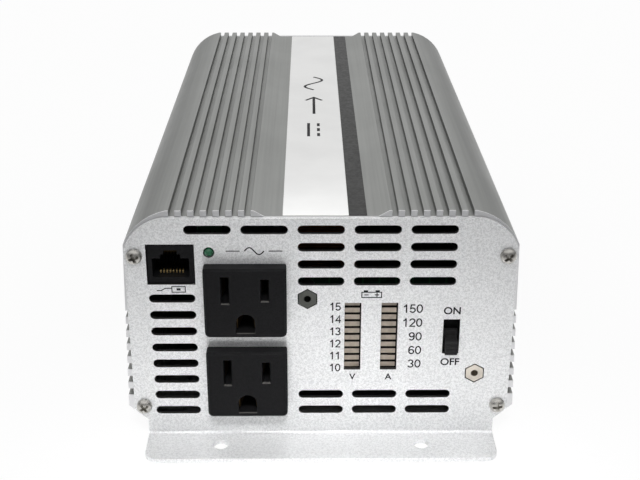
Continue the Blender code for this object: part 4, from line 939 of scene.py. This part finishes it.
def battery_sign(x, z):
    """Battery case with its two posts, a minus and a plus."""
    line = 0.00034
    case = np.array([[-0.0032, -0.0012], [0.0032, -0.0012], [0.0032, 0.0007], [-0.0032, 0.0007]])
    shapes = [ribbon(case + [x, z], line, closed=True)]
    for side in (-1, 1):
        shapes.append(dash(x + side * 0.0019, z + 0.0011, 0.0014, 0.0006))
        shapes.append(dash(x + side * 0.0017, z - 0.00025, 0.0014, line))
    upright = np.array([[0.0017, -0.00095], [0.0017, -0.00042]])
    shapes.append(ribbon(upright + [x, z], line))
    shapes.append(ribbon(upright * [1, -1] + [x, z - 0.0005], line))
    return shapes


def output_sign(x, z):
    """Alternating current: one sine wave between two short rules."""
    rules = [dash(x + side * 0.0068, z, 0.0044, 0.00034) for side in (-1, 1)]
    return [ribbon(wave_line(0.0062, 0.0024) + [x, z], 0.00042), *rules]


def remote_sign(x, z):
    """Hand control on its lead: a small box with a button, and a line to it."""
    line = 0.00032
    case = np.array([[-0.0001, -0.0010], [0.0042, -0.0010], [0.0042, 0.0010], [-0.0001, 0.0010]])
    lead = np.array([[-0.0050, -0.0004], [-0.0036, -0.0004], [-0.0022, 0.0004], [-0.0002, 0.0004]])
    button = dash(x + 0.00205, z, 0.0013, 0.0008)
    return [ribbon(case + [x, z], line, closed=True), button, ribbon(lead + [x, z], line)]


class INVERTER_OT_label(bpy.types.Operator):
    """Lay the two-tone label film in the recess of the top, with plain current signs"""

    bl_idname = "inverter.label"
    bl_label = "Label"

    def execute(self, context):
        size = sizes()
        low = RECESS_TOP + LABEL_GAP
        strips = (("label_white", size.label_left, size.label_split, finishes().label_white),
                  ("label_dark", size.label_split, size.label_right, finishes().label_dark))
        for name, left, right, colour in strips:
            points, faces = film(left, right, CASE_LOW.y + LABEL_INSET, CASE_HIGH.y - LABEL_INSET, low,
                                 size.label_film, LABEL_CORNER)
            coated = label_film(name + "_film", tuple(colour))
            piece(name, points, faces, coated, "blasted_panel", crease=30.0)
        middle = (size.label_left + size.label_split) / 2
        height = low + size.label_film + size.ink_film

        def on_label(points):
            return np.column_stack([middle - points[:, 1], points[:, 0], np.full(len(points), height)])

        printed("current_signs", current_signs(), on_label, LABEL_OUT)
        return {"FINISHED"}


def current_signs():
    """Direct current to alternating current: a bar over three dashes, an arrow and a sine wave."""
    line = 0.0011
    bar = dash(-0.032, 0.0022, 0.016, line)
    dashes = [dash(x, -0.0016, 0.0036, line) for x in (-0.038, -0.032, -0.026)]
    shaft = dash(-0.001, 0.0, 0.022, line)
    point = ribbon([[0.0065, 0.0034], [0.0108, 0.0], [0.0065, -0.0034]], line)
    wave = ribbon(wave_line(0.020, 0.0075) + [0.032, 0.0], line)
    return [bar, *dashes, shaft, point, wave]


def wire_ring(middle, radius, wire):
    """Torus about Y on a grid: reach from the middle = radius + wire * cos(v), height = wire * sin(v)."""
    u = np.linspace(0, TURN, 97)[:, None]
    v = around(12)[None, :]
    reach = radius + wire * np.cos(v)
    rows = np.stack([reach * np.cos(u), wire * np.sin(v) + 0 * u, reach * np.sin(u)], -1)
    return closed_grid(rows + np.asarray(middle))


def wire_spoke(start, end, wire):
    """Straight round wire in an XZ plane: a circle carried from start to end, closed to a point at both."""
    along = (end - start) / np.linalg.norm(end - start)
    across = np.array([-along[2], 0.0, along[0]])
    v = around(12)[None, :, None]
    circle = across * np.cos(v) + np.array([0.0, 1.0, 0.0]) * np.sin(v)
    share = np.array([0.0, 0.0, 1.0, 1.0])[:, None, None]
    radius = wire * np.array([0.0, 1.0, 1.0, 0.0])[:, None, None]
    return closed_grid(start + (end - start) * share + circle * radius)


def guard_wires():
    """Points and faces of the finger guard: three rings, four spokes and an eye under each screw."""
    low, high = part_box("fan_guard")
    hub = np.array([0.0, (low.y + high.y) / 2, (low.z + high.z) / 2])
    wire = (high.y - low.y) / 2
    pitch, reach = sizes().guard_pitch, sizes().guard_eye / 2
    parts = [wire_ring(hub, pitch * ring, wire) for ring in (1, 2, 3)]
    for number in (1, 2, 3, 4):
        head = sum(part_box(f"fan_screw_{number}"), Vector()) / 2
        eye = np.array([head.x, hub[1], head.z])
        way = (eye - hub) / np.linalg.norm(eye - hub)
        parts.append(wire_ring(eye, reach, wire))
        parts.append(wire_spoke(hub + way * pitch, eye - way * reach, wire))
    return joined(parts)


class INVERTER_OT_fan(bpy.types.Operator):
    """Dress the fan, its rotor and its guard"""

    bl_idname = "inverter.fan"
    bl_label = "Fan"

    def execute(self, context):
        charcoal = moulded("fan_plastic", tuple(finishes().fan_charcoal), rough=0.38, shine=0.4)
        eased("cooling_fan_frame", "fan_duct", charcoal, edge=0.0002)
        eased("cooling_fan_rotor", "fan_wheel", charcoal, body="fan_rotor")
        points, faces = guard_wires()
        guard = closed_up(piece("fan_wires", points, faces, nickel_plate(), "nickel_steel"))
        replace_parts(guard, "fan_guard")
        return {"FINISHED"}


class INVERTER_OT_terminals(bpy.types.Operator):
    """Dress the terminals and cut the threads of their studs"""

    bl_idname = "inverter.terminals"
    bl_label = "Terminals"

    def execute(self, context):
        brass = plated("bright_brass", (0.72, 0.56, 0.32))
        tones = (("positive", moulded("red_plastic", (0.42, 0.012, 0.012)), "red_moulding"),
                 ("negative", black_plastic(), "black_moulding"))
        for pole, plastic, slot in tones:
            eased(f"{pole}_terminal_insulator", f"{pole}_insulator", plastic, edge=0.0003)
            eased(f"{pole}_terminal_nut", f"{pole}_nut", nickel_plate(), edge=0.0004)
            paint(brass, f"{pole}_terminal_post")
            low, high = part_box(f"{pole}_terminal_nut")
            middle = (low + high) / 2
            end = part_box(f"{pole}_terminal_post")[1].y - THREAD_GAP
            rows = stud_thread(middle.x, middle.z, high.y + THREAD_GAP, end, sizes().thread_pitch)
            closed_up(piece(f"{pole}_thread", *closed_grid(rows), brass, "brass"))
        return {"FINISHED"}


class INVERTER_OT_inside(bpy.types.Operator):
    """Finish the power stage inside the case"""

    bl_idname = "inverter.inside"
    bl_label = "Power stage"

    def execute(self, context):
        ferrite = moulded("grey_ferrite", (0.045, 0.045, 0.05), rough=0.6, fine=1200.0)
        sleeve = moulded("blue_sleeve", (0.012, 0.02, 0.07), rough=0.3)
        paint(board_laminate(), "main_board")
        paint(ferrite, "transformer_1_core", "transformer_2_core")
        paint(copper_winding(), "transformer_1_winding", "transformer_2_winding", "output_choke")
        paint(sleeve, "input_capacitor_1", "input_capacitor_2")
        paint(black_plastic(), *(f"transistor_{number}" for number in (1, 2, 3, 4)))
        paint(nickel_plate(), "transistor_clamp_left", "transistor_clamp_right")
        return {"FINISHED"}


class INVERTER_OT_stage(bpy.types.Operator):
    """Set the floor, the soft light and the camera"""

    bl_idname = "inverter.stage"
    bl_label = "Stage"

    def execute(self, context):
        stage = context.scene.inverter_stage
        lay_floor(stage)
        light_room(context, stage)
        lamp("overhead_lamp", place=(0.0, -0.45, 0.42), aim=(0.0, -0.19, 0.0), size=0.15,
             power=stage.key_power, spread=22.0)
        lamp("front_lamp", place=(0.05, -0.55, 0.10), aim=(0.0, -0.12, 0.02), size=0.5,
             power=stage.fill_power, spread=180.0)
        set_camera(context, stage)
        context.scene.view_settings.view_transform = "Standard"
        return {"FINISHED"}


def lay_floor(stage):
    """Square floor just under the feet."""
    corners = [(x * FLOOR_HALF, y * FLOOR_HALF, FLOOR_Z) for x, y in ((-1, -1), (1, -1), (1, 1), (-1, 1))]
    mesh = bpy.data.meshes.new("floor")
    mesh.from_pydata(corners, [], [(0, 1, 2, 3)])
    mesh.materials.append(floor_paint(stage))
    ground = linked("floor", mesh)


def set_camera(context, stage):
    """Camera at the photograph's viewing angle."""
    camera = bpy.data.cameras.new("camera")
    camera.sensor_width = 36.0
    camera.lens = stage.lens
    camera.clip_start = 0.01
    view = linked("camera", camera)
    back = -Vector(stage.camera_forward).normalized()
    right = Vector(stage.camera_right).normalized()
    turn = Matrix((right, back.cross(right), back)).transposed().to_4x4()
    view.matrix_world = Matrix.Translation(stage.camera_place) @ turn
    context.scene.camera = view


def floor_paint(stage):
    """Pale floor that keeps a soft shadow: white to the camera, and greyer in front to metal and glass."""
    material = bpy.data.materials.new("pale_floor")
    material.use_nodes = True
    tree = material.node_tree
    tree.nodes.clear()
    paths = tree.nodes.new("ShaderNodeLightPath").outputs
    seen = maths(tree, "MAXIMUM", paths["Is Camera Ray"], paths["Is Glossy Ray"])
    seen = maths(tree, "MAXIMUM", seen, paths["Is Transmission Ray"])
    matt = node(tree, "ShaderNodeBsdfDiffuse", Color=opaque(stage.floor_white))
    place = tree.nodes.new("ShaderNodeTexCoord").outputs["Object"]
    near = ramp(tree, axes(tree, place)["Y"], FLOOR_FAR, FLOOR_NEAR)
    sheen = mixed(tree, near, opaque(stage.far_grey), WHITE)
    shown = mixed(tree, paths["Is Camera Ray"], sheen, WHITE)
    white = node(tree, "ShaderNodeEmission", Color=shown, Strength=1.0)
    mix = tree.nodes.new("ShaderNodeMixShader")
    tree.links.new(maths(tree, "MULTIPLY", seen, FLOOR_GLOW), mix.inputs[0])
    tree.links.new(matt.outputs[0], mix.inputs[1])
    tree.links.new(white.outputs[0], mix.inputs[2])
    result = tree.nodes.new("ShaderNodeOutputMaterial")
    tree.links.new(mix.outputs[0], result.inputs[0])
    return material


def light_room(context, stage):
    """Soft room light: pale from behind and above, greyer from the front and sides, white to the camera."""
    world = bpy.data.worlds.new("studio")
    world.use_nodes = True
    context.scene.world = world
    tree = world.node_tree
    background = tree.nodes["Background"]
    way = axes(tree, tree.nodes.new("ShaderNodeTexCoord").outputs["Generated"])
    side = maths(tree, "MULTIPLY", maths(tree, "ABSOLUTE", way["X"]), SKY_SIDE)
    back = maths(tree, "MULTIPLY", way["Y"], SKY_BACK)
    above = maths(tree, "MULTIPLY", way["Z"], SKY_ABOVE)
    lift = maths(tree, "ADD", above, maths(tree, "ADD", back, side))
    sky = mixed(tree, ramp(tree, lift, low=-0.1, high=0.9), opaque(stage.sky_grey), opaque(stage.sky_white))
    seen = tree.nodes.new("ShaderNodeLightPath").outputs["Is Camera Ray"]
    tree.links.new(mixed(tree, seen, sky, WHITE), background.inputs["Color"])
    background.inputs["Strength"].default_value = 1.0


def lamp(name, place, aim, size, power, spread):
    """Round area lamp at a place, turned to its aim, that metal doesn't mirror."""
    data = bpy.data.lights.new(name, "AREA")
    data.shape = "DISK"
    data.size = size
    data.energy = power
    data.spread = math.radians(spread)
    item = linked(name, data)
    item.location = place
    item.rotation_euler = (Vector(aim) - Vector(place)).to_track_quat("-Z", "Y").to_euler()
    item.visible_glossy = False


OPERATORS = (
    INVERTER_OT_case, INVERTER_OT_panels, INVERTER_OT_screws, INVERTER_OT_outlets, INVERTER_OT_controls,
    INVERTER_OT_legends, INVERTER_OT_label, INVERTER_OT_fan, INVERTER_OT_terminals, INVERTER_OT_inside,
    INVERTER_OT_stage)
GROUPS = {
    "inverter_finishes": InverterFinishes, "inverter_sizes": InverterSizes, "inverter_stage": InverterStage}


class INVERTER_PT_looks(bpy.types.Panel):
    """Sidebar list of the inverter's pieces"""

    bl_idname = "INVERTER_PT_looks"
    bl_label = "Inverter"
    bl_space_type = "VIEW_3D"
    bl_region_type = "UI"
    bl_category = "Inverter"

    def draw(self, context):
        for operator in OPERATORS:
            self.layout.operator(operator.bl_idname)
        for label in GROUPS:
            group = getattr(context.scene, label)
            column = self.layout.column()
            for name in group.__annotations__:
                column.prop(group, name)


CLASSES = (*GROUPS.values(), *OPERATORS, INVERTER_PT_looks)


def register():
    """Register the classes and hang the settings on the scene."""
    for item in CLASSES:
        bpy.utils.register_class(item)
    for label, group in GROUPS.items():
        setattr(bpy.types.Scene, label, bpy.props.PointerProperty(type=group))


def unregister():
    """Take the settings and the classes away again."""
    for label in GROUPS:
        delattr(bpy.types.Scene, label)
    for item in reversed(CLASSES):
        bpy.utils.unregister_class(item)


def main():
    """Register the add-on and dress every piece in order."""
    register()
    for operator in OPERATORS:
        getattr(bpy.ops.inverter, operator.bl_idname.partition(".")[2])()


if __name__ == "__main__":
    main()
